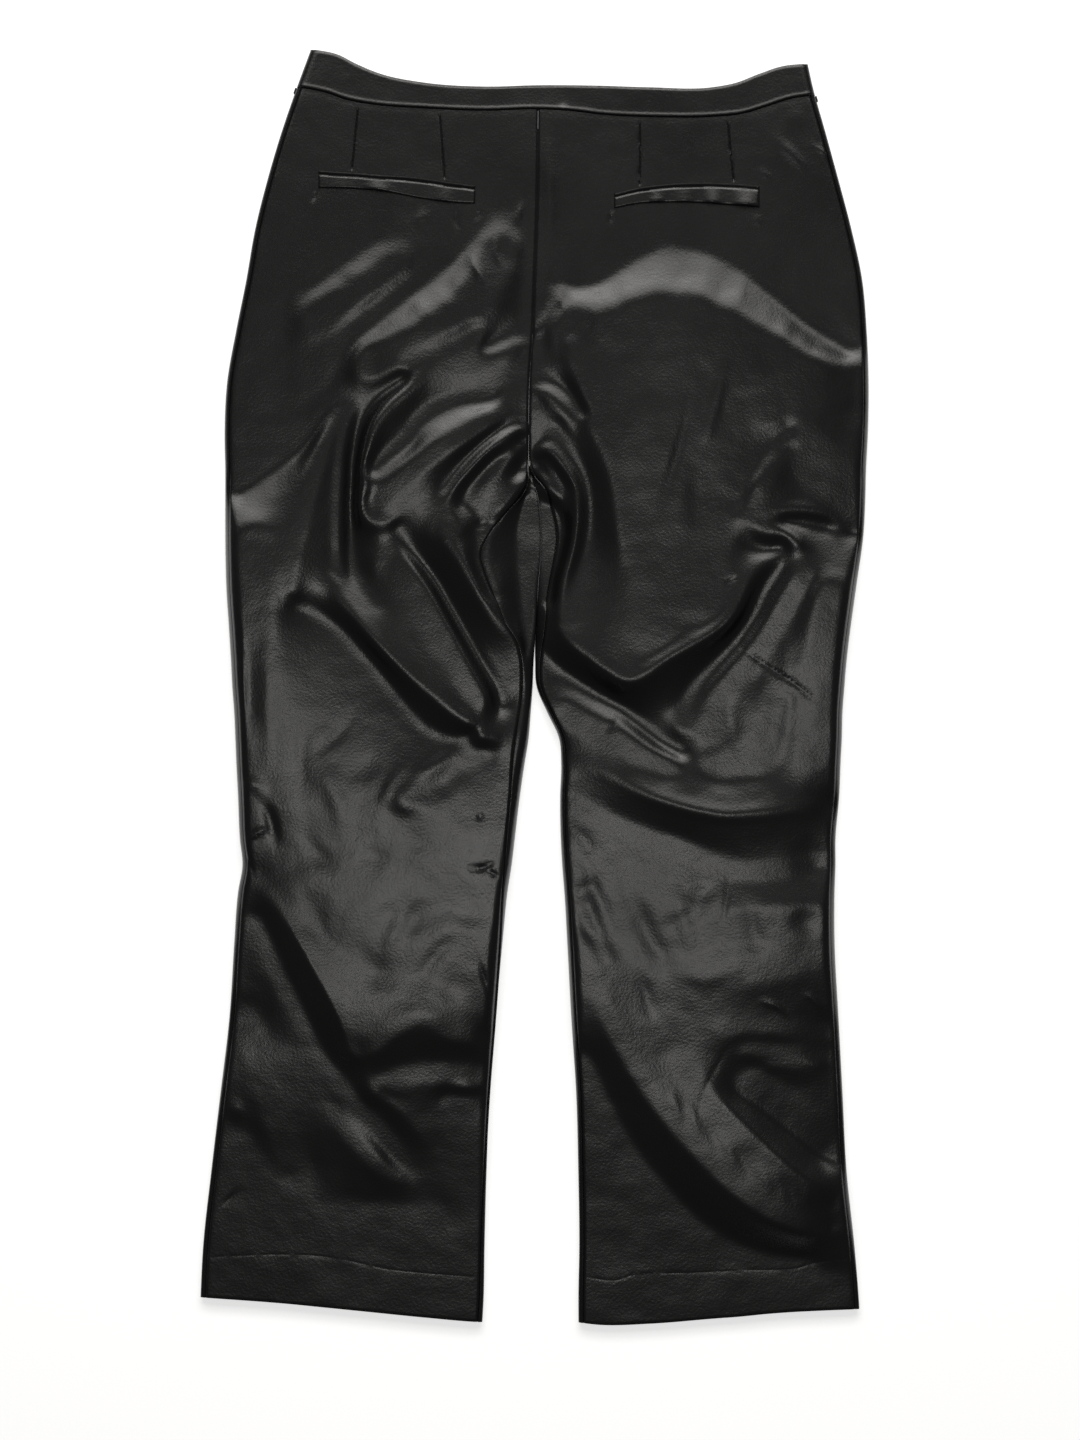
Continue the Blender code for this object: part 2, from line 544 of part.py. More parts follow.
def cloth_piece(name, faces, form, sign, wall, material, collection, sunk=0.0):
    """A slab bent to a form: its face follows the form, its inside lies a wall's thickness behind."""
    bm = slab(*faces)
    flat = np.array([vert.co for vert in bm.verts])
    u = flat[:, 0] + 0.5
    v = flat[:, 1] + 0.5
    depth = np.abs(flat[:, 2] - flat[:, 2].max())
    depth = np.round(depth / depth.max())
    place = np.array(form(u, v)) - outward(form, u, v, sign) * (sunk + depth * wall)
    for vert, point in zip(bm.verts, place.T):
        vert.co = point
    if sign < 0:
        bmesh.ops.reverse_faces(bm, faces=bm.faces)
    piece = new_object(name, bm, material, collection)
    piece.data.shade_smooth()
    piece.data.set_sharp_from_angle(angle=pi / 3)
    return piece


def welt_piece(name, rows, panel, material, collection):
    """Pocket welt: a strip that follows the panel it lies on, a little above it."""
    across = np.array([row.across for row in rows]) * CM
    lower = np.array([row.lower for row in rows]) * CM
    upper = np.array([row.upper for row in rows]) * CM
    tree = BVHTree.FromPolygons([vert.co for vert in panel.data.vertices],
                                [face.vertices for face in panel.data.polygons])
    bm = slab(*WELT_FACES)
    for vert in bm.verts:
        x = blend(across[0], across[-1], vert.co.x + 0.5)
        y = blend(through(across, lower, x), through(across, upper, x), vert.co.y + 0.5)
        lift = WELT_LIFT + WELT_WALL * (vert.co.z > -0.5)
        under = tree.ray_cast(Vector((x, y, 1.0)), Vector((0, 0, -1)))[0].z
        vert.co = (x, y, under + lift)
    bmesh.ops.recalc_face_normals(bm, faces=bm.faces)
    return new_object(name, bm, material, collection)


def fly_piece(name, material, collection):
    """Fly shield inside the front, with one rounded lower corner."""
    bm = bmesh.new()
    bmesh.ops.create_cube(bm, size=1.0)
    bmesh.ops.scale(bm, vec=FLY_SIZE, verts=bm.verts)
    corner = [edge for edge in bm.edges if all(vert.co.x < 0 and vert.co.y < 0 for vert in edge.verts)]
    bmesh.ops.bevel(bm, geom=corner, offset=FLY_CORNER, segments=6, profile=0.5, affect="EDGES", material=-1)
    height = WALL + SEAM_GAP + FLY_SIZE[2] / 2
    bmesh.ops.translate(bm, vec=(*FLY_MIDDLE, height), verts=bm.verts)
    return new_object(name, bm, material, collection)


def cloth_material(name, colour, roughness):
    material = bpy.data.materials.new(name)
    material.use_nodes = True
    shader = material.node_tree.nodes["Principled BSDF"]
    shader.inputs["Base Color"].default_value = colour
    shader.inputs["Roughness"].default_value = roughness
    shader.inputs["Metallic"].default_value = 0.0
    return material


def hem_form(leg):
    """The turned-up hem, all round inside the leg's end, from the inner seam over the top and back."""
    length = HEM_DEPTH / (WAIST_NOMINAL - HEM_NOMINAL)

    def form(u, v):
        along = blend(0.02, 1.0, v) * length
        side_seam, inner_seam, width = leg.seams(along)
        start = inner_seam - SEAM_GAP / width
        end = inner_seam + SEAM_GAP / width
        zone, t = zones(u, HEM_FACES)
        across = np.choose(zone, [
            start * (1 + np.cos(pi * blend(0.1, 1.0, t))) / (1 + np.cos(0.1 * pi)),
            (1 - np.cos(pi * t)) / 2,
            1 - (1 - end) * t * t,
        ])
        x, y = leg.plan(across, along)
        return x, y, np.where(zone == 1, leg.lower(x, y), leg.upper(x, y))
    return form


def build():
    for piece in list(bpy.data.objects):
        bpy.data.objects.remove(piece, do_unlink=True)
    collection = bpy.data.collections.new("faux_leather_trousers")
    bpy.context.scene.collection.children.link(collection)
    folded = FoldedFace()

    legs = [Leg("left", folded), Leg("right", folded)]

    for leg, sign in zip(legs, (1, -1)):
        side = leg.side
        material = cloth_material("back " + side, FACE_COLOUR, 0.32)
        back = cloth_piece("back_" + side, (BACK_ACROSS, LEG_ALONG), leg.back, sign, WALL, material, collection)
        material = cloth_material("front " + side, FACE_COLOUR, 0.34)
        cloth_piece("front_" + side, (sum(FRONT_FACES), LEG_ALONG), leg.front, -sign, WALL, material, collection)
        material = cloth_material("hem " + side, INSIDE_COLOUR, 0.6)
        cloth_piece("hem_" + side, (sum(HEM_FACES), 2), hem_form(leg), -sign, WALL, material, collection,
                    sunk=WALL + HEM_CLEAR)
        material = cloth_material("welt " + side, FACE_COLOUR, 0.3)
        welt_piece("welt_" + side, WELTS[side], back, material, collection)

    band = Waistband(legs, folded)
    material = cloth_material("waistband back", FACE_COLOUR, 0.32)
    cloth_piece("waistband_back", (BAND_ACROSS, BAND_ALONG), band.back, 1, BAND_WALL, material, collection)
    material = cloth_material("waistband front", FACE_COLOUR, 0.34)
    cloth_piece("waistband_front", (2 * sum(BAND_FRONT_FACES), BAND_ALONG), band.front, -1, BAND_WALL, material,
                collection)
    fly_piece("fly_shield", cloth_material("fly shield", INSIDE_COLOUR, 0.6), collection)


build()
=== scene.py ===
from collections import namedtuple
from math import pi

import bmesh
import bpy
import numpy as np
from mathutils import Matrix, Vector
from mathutils.bvhtree import BVHTree


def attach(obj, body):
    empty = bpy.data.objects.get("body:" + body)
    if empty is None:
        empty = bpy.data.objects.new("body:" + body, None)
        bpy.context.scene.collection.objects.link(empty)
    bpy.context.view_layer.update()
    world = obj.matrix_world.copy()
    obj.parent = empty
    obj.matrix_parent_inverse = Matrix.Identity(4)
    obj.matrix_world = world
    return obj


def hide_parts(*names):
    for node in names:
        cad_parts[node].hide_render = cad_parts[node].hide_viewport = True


# Faux leather trousers laid out flat, back uppermost.
# Metres, +Y towards the waist, +X to the picture's right.
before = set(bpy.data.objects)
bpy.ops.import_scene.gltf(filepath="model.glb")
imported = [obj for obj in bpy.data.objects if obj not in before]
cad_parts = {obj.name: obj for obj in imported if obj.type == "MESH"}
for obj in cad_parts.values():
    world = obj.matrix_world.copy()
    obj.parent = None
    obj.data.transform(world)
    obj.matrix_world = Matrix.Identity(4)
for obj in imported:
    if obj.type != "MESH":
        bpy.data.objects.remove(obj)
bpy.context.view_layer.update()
pieceCollection = bpy.data.collections.new("trousers")
bpy.context.scene.collection.children.link(pieceCollection)
cm = 0.01
mm = 0.001
cmPerMm = 0.1

cloth = {
    "wall": 1.2 * mm,
    "seamGap": 0.12 * mm,
    "legGap": 0.3 * mm,        # between the legs where they lie side by side
    "lean": 0.45,              # how far one inner side leans over the other there
    "sideRise": 4.0 * mm,      # height of the outermost line of a rounded side
    "underTurn": 4.5 * mm,     # how far a side curls under
    "seamIn": 3.5 * mm,        # side seams lie this far in, on the upper face
    "leastLoft": 4.2 * mm,
    "waistHeight": 45.5 * cm,
    "hemHeight": -49.0 * cm,
    "crotch": 17.3 * cm,
    "crotchRun": 1.4 * cm,     # over this length the inner sides become round
    "turnShare": 0.6,          # width of a rounded side as a share of the height there
    "turnLeast": 7 * mm,
    "turnMost": 15 * mm,
    "touchTurn": 5 * mm,       # the same where the two legs touch
    "touchFrom": 1 * cm,       # they touch from this height up
    "touchRun": 3 * cm,
    "leanReach": 12 * mm,
    "dip": 0.15 * mm,          # along the waistband's seam
    "dipReach": 3 * mm,
    "joinHeight": 20 * cm,     # the front leaves the back seam above the crotch
    "joinRun": 2 * cm,
    "edgeReach": 1.1 * mm,     # how wide an edge sinks, and how deep
    "backEdge": 0.9 * mm,
    "backHemEdge": 0.6 * mm,
    "frontEdge": 0.5 * mm,
    "innerEdge": 10 * mm,
    "frontFaces": (10, 8, 14, 8, 26),  # over the side, under it, flat, under and over the inner side
}
band = {
    "wall": 2.2 * mm,
    "raise": 1.0 * mm,
    "gap": 0.4 * mm,
    "sideRise": 4.4 * mm,
    "turn": 8.0 * mm,
    "frontDrop": 9.0 * mm,
    "lip": 0.4 * mm,           # rolled lower edge
    "lipWidth": 1.5 * mm,
    "lipPlace": 1.3 * mm,
    "sink": 1.1 * mm,          # how deep the lower edge sinks
    "sinkLow": 0.7 * mm,
    "sinkTop": 1.2 * mm,
    "topShare": 0.7,           # the upper edge sinks by this share of it
    "bump": 0.8 * mm,          # a small swelling at the lower edge
    "bumpPlace": 2.1 * cm,
    "bumpWidth": 3 * mm,
    "bumpHeight": 4 * mm,
    "frontFaces": (2, 40, 8, 8),
    "columns": 300,
}


def table(columns, rows):
    # rows whose columns have names
    row = namedtuple("row", columns)
    return [row(*values) for values in rows]


# The outline seen from above, in cm: the outer and inner edge of each leg at each height
sections = table("height leftOut leftIn rightIn rightOut", [
    (-51, -26.5, -4.3, 3.3, 25.5),
    (-48, -26.4, -4.13, 3.28, 25.33),
    (-44, -26.2, -4.06, 3.35, 25.0),
    (-38, -25.55, -3.9, 3.27, 24.37),
    (-32, -24.84, -3.66, 3.11, 24.06),
    (-26, -24.13, -3.19, 2.72, 23.74),
    (-20, -23.74, -2.64, 2.4, 23.43),
    (-16, -23.43, -2.24, 2.17, 23.43),
    (-14, -23.1, -1.93, 2.01, 23.5),
    (-12, -23.3, -1.69, 1.9, 23.5),
    (-8.5, -23.45, -1.27, 1.85, 23.8),
    (-6, -23.58, -0.91, 1.93, 23.9),
    (-4, -23.66, -0.59, 1.75, 24.0),
    (-2, -23.75, -0.43, 0.83, 24.05),
    (0, -23.9, -0.28, 0.0, 24.2),
    (2, -24.0, -0.2, -0.12, 24.37),
    (4, -24.12, -0.1, -0.1, 24.6),
    (8, -24.37, 0.15, 0.15, 25.15),
    (12, -24.45, 0.4, 0.4, 25.7),
    (15, -24.45, 0.1, 0.1, 25.85),
    (17, -24.45, -0.5, -0.5, 25.9),
    (20, -24.5, -0.6, -0.6, 26.05),
    (24, -24.3, -0.55, -0.55, 26.1),
    (28, -23.6, -0.3, -0.3, 25.95),
    (32, -22.8, -0.15, -0.15, 25.6),
    (36, -22.1, 0.0, 0.0, 24.75),
    (40, -21.1, 0.1, 0.1, 23.7),
    (44, -19.9, 0.12, 0.12, 22.6),
    (47, -18.86, 0.15, 0.15, 21.75),
    (50, -17.75, 0.15, 0.15, 21.1),
])

# The ends of the panels and the waistband's upper edge at each place across, in cm
ends = table("across hem waist top", [
    (-27, -47.9, 47.0, 50.0),
    (-19, -48.5, 47.0, 50.0),
    (-17, -48.7, 46.65, 49.65),
    (-15, -48.9, 46.05, 48.85),
    (-13, -49.1, 45.7, 48.15),
    (-9, -49.5, 45.4, 47.4),
    (-4, -49.9, 45.2, 47.1),
    (0, -49.9, 45.3, 47.2),
    (3, -49.9, 45.15, 47.2),
    (5, -50.1, 44.9, 47.17),
    (9, -50.0, 44.7, 47.05),
    (14, -49.6, 44.75, 47.05),
    (16, -49.45, 44.95, 47.4),
    (18, -49.25, 45.5, 48.1),
    (20, -49.1, 46.1, 48.7),
    (22, -49.0, 46.4, 48.9),
    (27, -48.8, 46.4, 48.9),
])

# How far the inside leg seam lies in from the inner edge, on the upper face, in cm
inseams = table("height left right", [
    (-51, 0.35, 0.35),
    (-16, 0.36, 0.35),
    (-12, 0.6, 0.35),
    (-8, 0.75, 0.35),
    (-4, 1.05, 0.35),
    (0, 0.85, 0.35),
    (2.5, 1.0, 0.38),
    (4, 1.5, 0.42),
    (5.5, 2.4, 0.5),
    (7, 3.1, 0.6),
    (9, 4.1, 0.85),
    (11, 4.7, 1.1),
    (12.5, 4.0, 1.2),
    (14, 2.7, 1.0),
    (15.5, 1.2, 0.7),
    (17, 0.25, 0.2),
    (18, 0.0, 0.0),
    (51, 0.0, 0.0),
])

# Where the cloth is raised over a fold or held down between folds: the points are across and
# along in cm with the height of the upper face in mm, and roundness is in mm
folds = table("name roundness line", [
    ("hipLeft", 10, [(-17, 42, 8), (-12, 43, 8), (-4, 43, 8.5)]),
    ("hipRight", 10, [(3, 42.5, 8.5), (12, 42, 8), (20, 41, 8)]),
    ("seatFlatRight", 10, [(4, 36.5, 8), (12, 36.5, 8), (21, 33, 8)]),
    ("hipEdgeLeft", 10, [(-20.5, 35, 8), (-21.5, 29, 8.5), (-22, 23, 9)]),
    ("seatLitFoot", 6, [(-18.2, 32, 8.5), (-15.9, 33.8, 8.5), (-13.3, 35.6, 8.5)]),
    ("seatLitTop", 7, [(-17.2, 28.8, 10.9), (-15.4, 29.9, 11.9), (-13.2, 31.2, 12.3), (-11, 32.8, 11.3)]),
    ("seatCrease", 6, [(-17.4, 23.7, 9.5), (-15.9, 25.8, 10.4), (-14.6, 27.6, 10.7), (-12.4, 29.8, 10.5),
        (-9.6, 32, 9.8), (-6.6, 34.6, 9), (-4.2, 37.8, 8.5)]),
    ("seatTwinLow", 8, [(-13, 25.6, 14), (-10.8, 26.2, 16.4), (-8.4, 27.3, 17.3), (-6.2, 29, 16.6),
        (-4.2, 31.2, 14.9), (-2.8, 34, 11.7)]),
    ("seatHollow", 6, [(-10, 25.6, 15.5), (-8, 26.4, 15.5), (-5, 27.5, 14.5)]),
    ("seamPatchFoot", 3, [(-3.7, 26.9, 12), (-2.3, 27.7, 11.5), (-1, 28.1, 11)]),
    ("seamPatchTop", 3, [(-3.8, 25.6, 14), (-2.4, 26.1, 14), (-1, 26.8, 12.5)]),
    ("thighHook", 2.5, [(-8.6, 25, 16), (-10, 23.3, 17.5), (-11.5, 22, 18.5), (-12.7, 20.3, 19),
        (-13.3, 18, 19), (-13.6, 15.5, 18.5), (-13.7, 14, 18), (-13.2, 13.1, 17), (-12, 12.9, 16.5),
        (-11.2, 13.2, 16)]),
    ("thighTrench", 2.5, [(-10.5, 24.2, 12.5), (-12.6, 22.6, 10.5), (-13.8, 20.8, 8.5), (-14.4, 18, 7.5),
        (-14.55, 15, 7), (-14.6, 12, 7), (-14.4, 9.8, 9), (-13.6, 8, 12), (-12.4, 6.6, 15)]),
    ("thighTrenchOuter", 3, [(-14.6, 22.2, 10.5), (-15.2, 19.6, 12), (-15.45, 16.6, 13),
        (-15.55, 13.4, 13.5), (-15.6, 10.4, 13.5), (-15.6, 8.9, 14.5)]),
    ("pouchUpper", 4, [(-13, 17.3, 14.5), (-11.5, 18.4, 14), (-10.2, 19.4, 13.5), (-9.2, 21, 13),
        (-7.6, 22, 12.5), (-5.5, 22.6, 12), (-3.6, 22.6, 12)]),
    ("pouchCrest", 5, [(-12.9, 14.4, 16), (-11.5, 15.4, 17.5), (-10, 16.7, 18.5), (-8.6, 17.9, 19),
        (-7, 18.9, 19), (-5.4, 19.8, 18), (-3.6, 21, 16), (-2.2, 22, 13.5)]),
    ("thighFoot", 4, [(-23.4, 15.6, 9.5), (-21.5, 17, 9.5), (-19.5, 18.3, 9.5), (-18, 19.6, 9.5),
        (-16.8, 21.2, 10), (-15.5, 22.4, 10.5)]),
    ("thighCrest", 4, [(-15.6, 21.2, 11.5), (-16.6, 19.2, 14), (-17.5, 16.6, 16.5), (-18.3, 13.6, 18.5),
        (-19, 10.6, 20), (-19.4, 8.4, 20), (-19.4, 7, 19.5)]),
    ("thighTop", 8, [(-22, 11.4, 19.5), (-22, 8, 20.5), (-21.8, 3, 20), (-21.4, -2, 18.8),
        (-21, -7, 17.5)]),
    ("upperTerrace", 2, [(-16, 8.6, 16), (-15.4, 6.9, 17.5), (-14, 5.2, 19), (-12.5, 3.5, 20),
        (-11, 1.9, 20), (-9.5, 0.45, 20), (-8, -0.8, 20), (-6.5, -2, 20), (-5.3, -2.9, 19.5),
        (-4.4, -3.9, 18), (-3.4, -4.1, 16)]),
    ("lowerTerrace", 3, [(-19.2, 6.8, 17), (-18.4, 6.2, 15), (-17.2, 5.6, 13.5), (-15.8, 4.7, 12.5),
        (-14.4, 3.4, 12), (-13, 1.8, 11.5), (-11.6, 0.1, 11.5), (-10.2, -1.7, 12), (-8.8, -3.2, 12.5),
        (-7.3, -4, 13), (-5.8, -4.2, 13.5), (-5, -3.6, 14)]),
    ("innerRidge", 8, [(-11.4, 10, 14), (-10, 8.6, 15.5), (-8.6, 6.4, 16.5), (-7.2, 4, 17),
        (-5.8, 1.8, 17.5), (-4.6, -0.4, 17.5)]),
    ("innerValley", 3, [(-10.7, 12.4, 13), (-9.9, 10.8, 11), (-8.8, 9.4, 9.5), (-7.8, 8, 9), (-6.7, 6, 9),
        (-5.6, 4, 9), (-4.6, 2.1, 9), (-3.6, 0.4, 9), (-2.7, -1.4, 9)]),
    ("crotchRidgeLeft", 2.5, [(-8, 12.2, 16), (-7, 11.6, 18), (-5.9, 9.9, 19), (-4.8, 7.8, 19),
        (-3.7, 6, 18), (-2.7, 4.7, 16.5), (-1.8, 3.7, 14), (-1.45, 2.2, 12), (-1.5, 0, 10)]),
    ("crotchFoldFoot", 2.5, [(-1.2, 21.2, 13.2), (-3, 20, 13.2), (-4.6, 18.7, 13.2), (-6, 17.2, 13.7),
        (-7.2, 15.6, 14.2)]),
    ("crotchFold", 2, [(-0.8, 20.2, 14), (-2, 19.8, 16), (-3.2, 19, 17), (-4.3, 18, 17.5),
        (-5.3, 16.9, 17.5), (-6.2, 16, 17), (-6.9, 14.9, 16.5), (-6.5, 13.5, 16.5), (-5.9, 12.3, 16.5)]),
    ("crotchFoldHollow", 2.5, [(-2.9, 18, 12.7), (-4, 17, 12.2), (-5.1, 15.8, 12.2), (-5.7, 14.4, 11.7)]),
    ("crotchFoldLow", 2.5, [(-1.3, 18.6, 12.5), (-2.6, 17.4, 13), (-3.9, 15.9, 13), (-5, 14, 11.5)]),
    ("crotchRimLeft", 2, [(-0.7, 17, 9.5), (-1.5, 15.6, 11.5), (-2.6, 14.2, 12.5), (-3.4, 13.6, 12),
        (-4.3, 12.6, 9.5)]),
    ("innerThighLeft", 3, [(-0.6, 14.8, 3.6), (-1.1, 12.4, 3.8), (-1.2, 9.6, 4.6), (-1, 7, 5.6),
        (-0.8, 5, 6.8), (-0.7, 3, 8)]),
    ("innerThighHigh", 4, [(-4.2, 12, 11.5), (-4.2, 9.8, 12), (-3.4, 7.8, 12.5)]),
    ("seamTop", 6, [(0.1, 44.5, 9), (0.1, 36, 9), (-0.1, 31, 10), (-0.3, 28, 11), (-0.5, 24.5, 12.5),
        (-0.6, 21.5, 12.5), (-0.5, 18.5, 9), (-0.4, 16.8, 5)]),
    ("seatRiseFoot", 4, [(1.6, 32, 9), (4, 31.9, 8), (6, 32.9, 8), (8, 34.2, 8), (10.3, 35.3, 8),
        (13, 34.8, 8), (15.5, 33.8, 8), (18, 31.8, 8), (21, 29.2, 8), (24.6, 26.8, 8)]),
    ("seatRiseTop", 10, [(2.8, 28, 13.8), (4.4, 27.3, 15.6), (7, 28.3, 17), (9.5, 29, 17.8),
        (12, 28.8, 18), (14, 28, 17.8), (17, 26.4, 17.4), (20, 24.7, 17.2), (22.5, 23.6, 16),
        (25, 23.4, 12.5)]),
    ("seatSmall", 2.5, [(0.1, 27.9, 13), (1, 29, 12.5), (1.7, 30, 11.5), (2, 31.2, 10)]),
    ("seatPatchFoot", 2.5, [(0, 24.3, 12.5), (1.1, 24.1, 12), (2.4, 23.2, 12), (3.6, 21.6, 13)]),
    ("seatPatchTop", 2.5, [(-0.1, 23.2, 14.5), (1, 22.8, 15), (2, 21.8, 15), (2.8, 20.4, 14)]),
    ("crotchSlopeTop", 4, [(2.8, 27, 15.5), (3.5, 24.6, 16), (4.2, 22, 16.5), (5, 20, 17),
        (5.9, 18, 17.2), (6.4, 16, 17.2), (6.8, 13, 17.5), (7.2, 10.5, 18)]),
    ("crotchSlopeFoot", 3, [(1.6, 20.3, 12), (2.6, 18.5, 11.5), (3.6, 16.6, 11), (4.1, 14, 10.5),
        (4, 11.5, 10.5), (3.6, 9.5, 12), (3.3, 7.5, 14.5), (3.2, 5.6, 17)]),
    ("loopCrest", 2, [(0.1, 18.3, 12), (0.8, 18.6, 13.5), (1.6, 17.9, 14), (2.4, 16.9, 14.5),
        (3.05, 15.8, 15), (3.3, 14, 15.5), (3.1, 12, 15.5), (2.7, 10.2, 15.5), (2.1, 8.6, 15.5),
        (1.8, 7.2, 16), (1.75, 6, 16.5), (2, 4.8, 17.5)]),
    ("loopLens", 2.5, [(0.7, 17.7, 9.5), (1.6, 16.5, 9.5), (2.3, 15.4, 9.5)]),
    ("loopLip", 2, [(0.1, 16.9, 8.5), (0.7, 15.9, 10), (1.4, 15.2, 10), (2.1, 14.7, 9)]),
    ("innerThighRight", 3, [(0.9, 14, 3), (1.7, 12.8, 3.2), (1.6, 11, 4), (1.1, 9, 4.6), (0.8, 7, 6)]),
    ("pouchFlat", 10, [(9.5, 20, 17.5), (10, 13, 17.5), (9.5, 8, 18.8), (9, 4, 20.5)]),
    ("pouchFlatOuter", 10, [(20, 19.6, 16.8), (22, 17, 15.2)]),
    ("pouchFlatLow", 8, [(13.6, 15, 16.5), (13.4, 10, 17.8), (13, 6, 19.8)]),
    ("pouchRim", 2.5, [(2, 4.4, 18.5), (2.9, 3.4, 20), (4.2, 2.3, 21), (5.7, 1.2, 21.5), (7, 0.5, 22),
        (8.4, 0.9, 22), (10, 2.1, 22), (12, 3.2, 22), (14, 4.4, 21.5), (15.2, 5.5, 21), (16, 7, 20),
        (16.8, 8.7, 18.5), (18, 9.7, 16.5), (19.1, 10.1, 15)]),
    ("rimTrench", 3, [(0.3, 2.6, 8), (1.8, 1.3, 8), (3.6, 0.1, 8), (5.3, -0.9, 8), (6.9, -1.8, 8),
        (8.4, -3, 8.5), (9.8, -4.2, 9), (11.2, -5, 10)]),
    ("smallRidge", 6, [(2.2, -2, 11.5), (4, -2.9, 12.5), (5.6, -3.6, 13.5), (7.1, -4.6, 14.5),
        (8.6, -5.5, 15), (10.2, -6.2, 15)]),
    ("rimTrenchRight", 3.5, [(18.8, 9, 14.5), (17.8, 7.4, 12.5), (16.9, 5.4, 11.5), (15.5, 3.4, 10.8),
        (13.9, 1.7, 10.2), (12.3, 0, 10), (11.5, -1.6, 10.5), (11.5, -3.2, 12)]),
    ("litSlopeTop", 6, [(20.8, 8.2, 17.5), (19, 5.4, 15.5), (17.1, 2.6, 14), (15.3, 0.4, 13),
        (14.1, -1.9, 12.6), (13.8, -4.2, 12.8)]),
    ("plateauRight", 8, [(22.9, 7, 20.5), (22.7, 4, 19.5), (22.3, 0, 18), (22, -3, 17),
        (21.6, -5.2, 16.2)]),
    ("plateauLow", 8, [(18.4, -1.6, 15.2), (17.8, -5.2, 14.6), (14.4, -6, 13.6)]),
    ("sideCrest", 2.5, [(15.9, 13.2, 18), (17, 12.9, 18), (18.1, 12.2, 18), (19.3, 12.2, 18),
        (20.3, 11.2, 18.5)]),
    ("sideHollow", 2.5, [(16, 12.2, 17.1), (16.8, 11.1, 14.6), (18, 10.7, 13.6), (19.1, 10.9, 14.1)]),
    ("sideLoop", 2, [(17.2, 13.1, 18), (18.3, 13.45, 17.5), (20, 13.7, 16.5), (21.5, 13.75, 15.5),
        (22.7, 13.65, 14.5), (23.7, 12.9, 12.5), (24.8, 12, 10)]),
    ("sideLoopFoot", 2.5, [(19.6, 12.9, 14.5), (21.2, 12.8, 13.2), (22.8, 12.4, 11.5)]),
    ("sideSoft", 4, [(16.6, 13.8, 18), (17.4, 15.6, 18.5), (18.6, 17.2, 17.5), (20, 18.6, 15.5)]),
    ("sideSoftFoot", 4, [(15.8, 14.8, 16.5), (16.6, 16.9, 16), (18, 18.9, 15.5), (19.8, 20.2, 15)]),
    ("kneeFold", 2.2, [(1.9, -5, 9), (3, -5.5, 11.5), (4.6, -6.3, 14), (6.3, -7.2, 16), (8.2, -8.2, 18),
        (10.2, -9, 19.5), (12.4, -9.6, 20.5), (14.8, -10, 21), (17, -9.9, 21), (19, -9.7, 20),
        (20.8, -9.4, 18), (22.2, -9.1, 14.5), (23.2, -9.1, 9.5)]),
    ("kneeTrough", 5, [(2.3, -8.8, 11), (4, -9.8, 12), (6, -10.8, 12.5), (8.2, -11.6, 13),
        (10.6, -12.4, 13.5), (13, -13.4, 14), (15.2, -14.2, 14.5), (17.4, -14.4, 15), (19.6, -14.2, 14.5),
        (21.6, -13.6, 12)]),
    ("kneeLevelRight", 8, [(4.5, -18, 13.5), (9, -19, 14.5), (14, -19, 16.5), (19, -18.5, 18.5),
        (21.8, -18.5, 18)]),
    ("kneeCrest", 7, [(9, -24, 15), (10.6, -23.6, 15.5), (13, -23, 16.5), (16, -22.4, 18),
        (18.5, -21.8, 18.5), (21.4, -21, 18)]),
    ("kneeStep", 6, [(15.2, -26.8, 16.5), (18, -26.8, 16), (20.5, -27.2, 14.5), (22.8, -27.4, 11.5)]),
    ("kneeStepFoot", 6, [(16.6, -28, 15), (18.8, -28.2, 14), (21, -28.3, 13), (23, -28.6, 10.5)]),
    ("kneeStepLow", 3, [(18.5, -29.4, 13.8), (20.6, -29.6, 13.5), (22, -29.8, 12.5), (23, -29.7, 11)]),
    ("longDiagonal", 4, [(2.6, -18.5, 14), (4.1, -22, 16), (5.6, -25.8, 16.5), (7.6, -29.8, 16.5),
        (10.2, -33.6, 18), (13.2, -37, 20), (16.2, -39.8, 21.5), (19.2, -41.6, 21.5), (21.4, -42.2, 19),
        (23, -42.4, 13)]),
    ("diagonalTop", 5, [(10.6, -28.4, 15), (13, -31.7, 17), (16, -34.9, 19.5), (19, -37.7, 21),
        (21.6, -39.6, 19.5), (23.2, -40.4, 14)]),
    ("diagonalFoot", 8, [(16.8, -31, 12.6), (19, -32.4, 11.2), (21.4, -34.4, 10.2), (23, -35.8, 8.5)]),
    ("diagonalValley", 6, [(3.4, -29.5, 10), (5, -33, 9), (7, -36.5, 8), (9.6, -39.8, 7.5), (13, -43, 7),
        (17, -45, 6.8), (21, -45.6, 6.8)]),
    ("shinRight", 6, [(4.6, -41, 7), (5.5, -44.6, 6.5)]),
    ("hemRight", 8, [(5, -48.2, 7), (14, -47.6, 7), (23.6, -47.2, 7)]),
    ("kneeLeftCrest", 3.5, [(-13.9, -28.6, 19), (-12.7, -28.1, 20.5), (-11, -26.8, 21.5),
        (-9.2, -25.9, 21.5), (-8.2, -26.2, 21), (-6.8, -27.1, 19), (-5, -27.4, 16.5), (-3.9, -27.5, 12.5)]),
    ("kneeLevelLeft", 10, [(-19, -8, 17.5), (-15, -10, 17), (-9, -13, 17), (-5, -16, 16.5)]),
    ("kneeLevelLow", 10, [(-17, -17, 18), (-12, -20, 18.5), (-6, -21, 18)]),
    ("kneeDip", 4, [(-4, -5.2, 13), (-6, -6.3, 14.5), (-8.2, -7.6, 16.5), (-10.2, -8.9, 18.5)]),
    ("shinDrop", 6, [(-12.4, -31.3, 15.5), (-9.5, -30.3, 15), (-6.5, -30.3, 13.5), (-4.2, -30.6, 10.5)]),
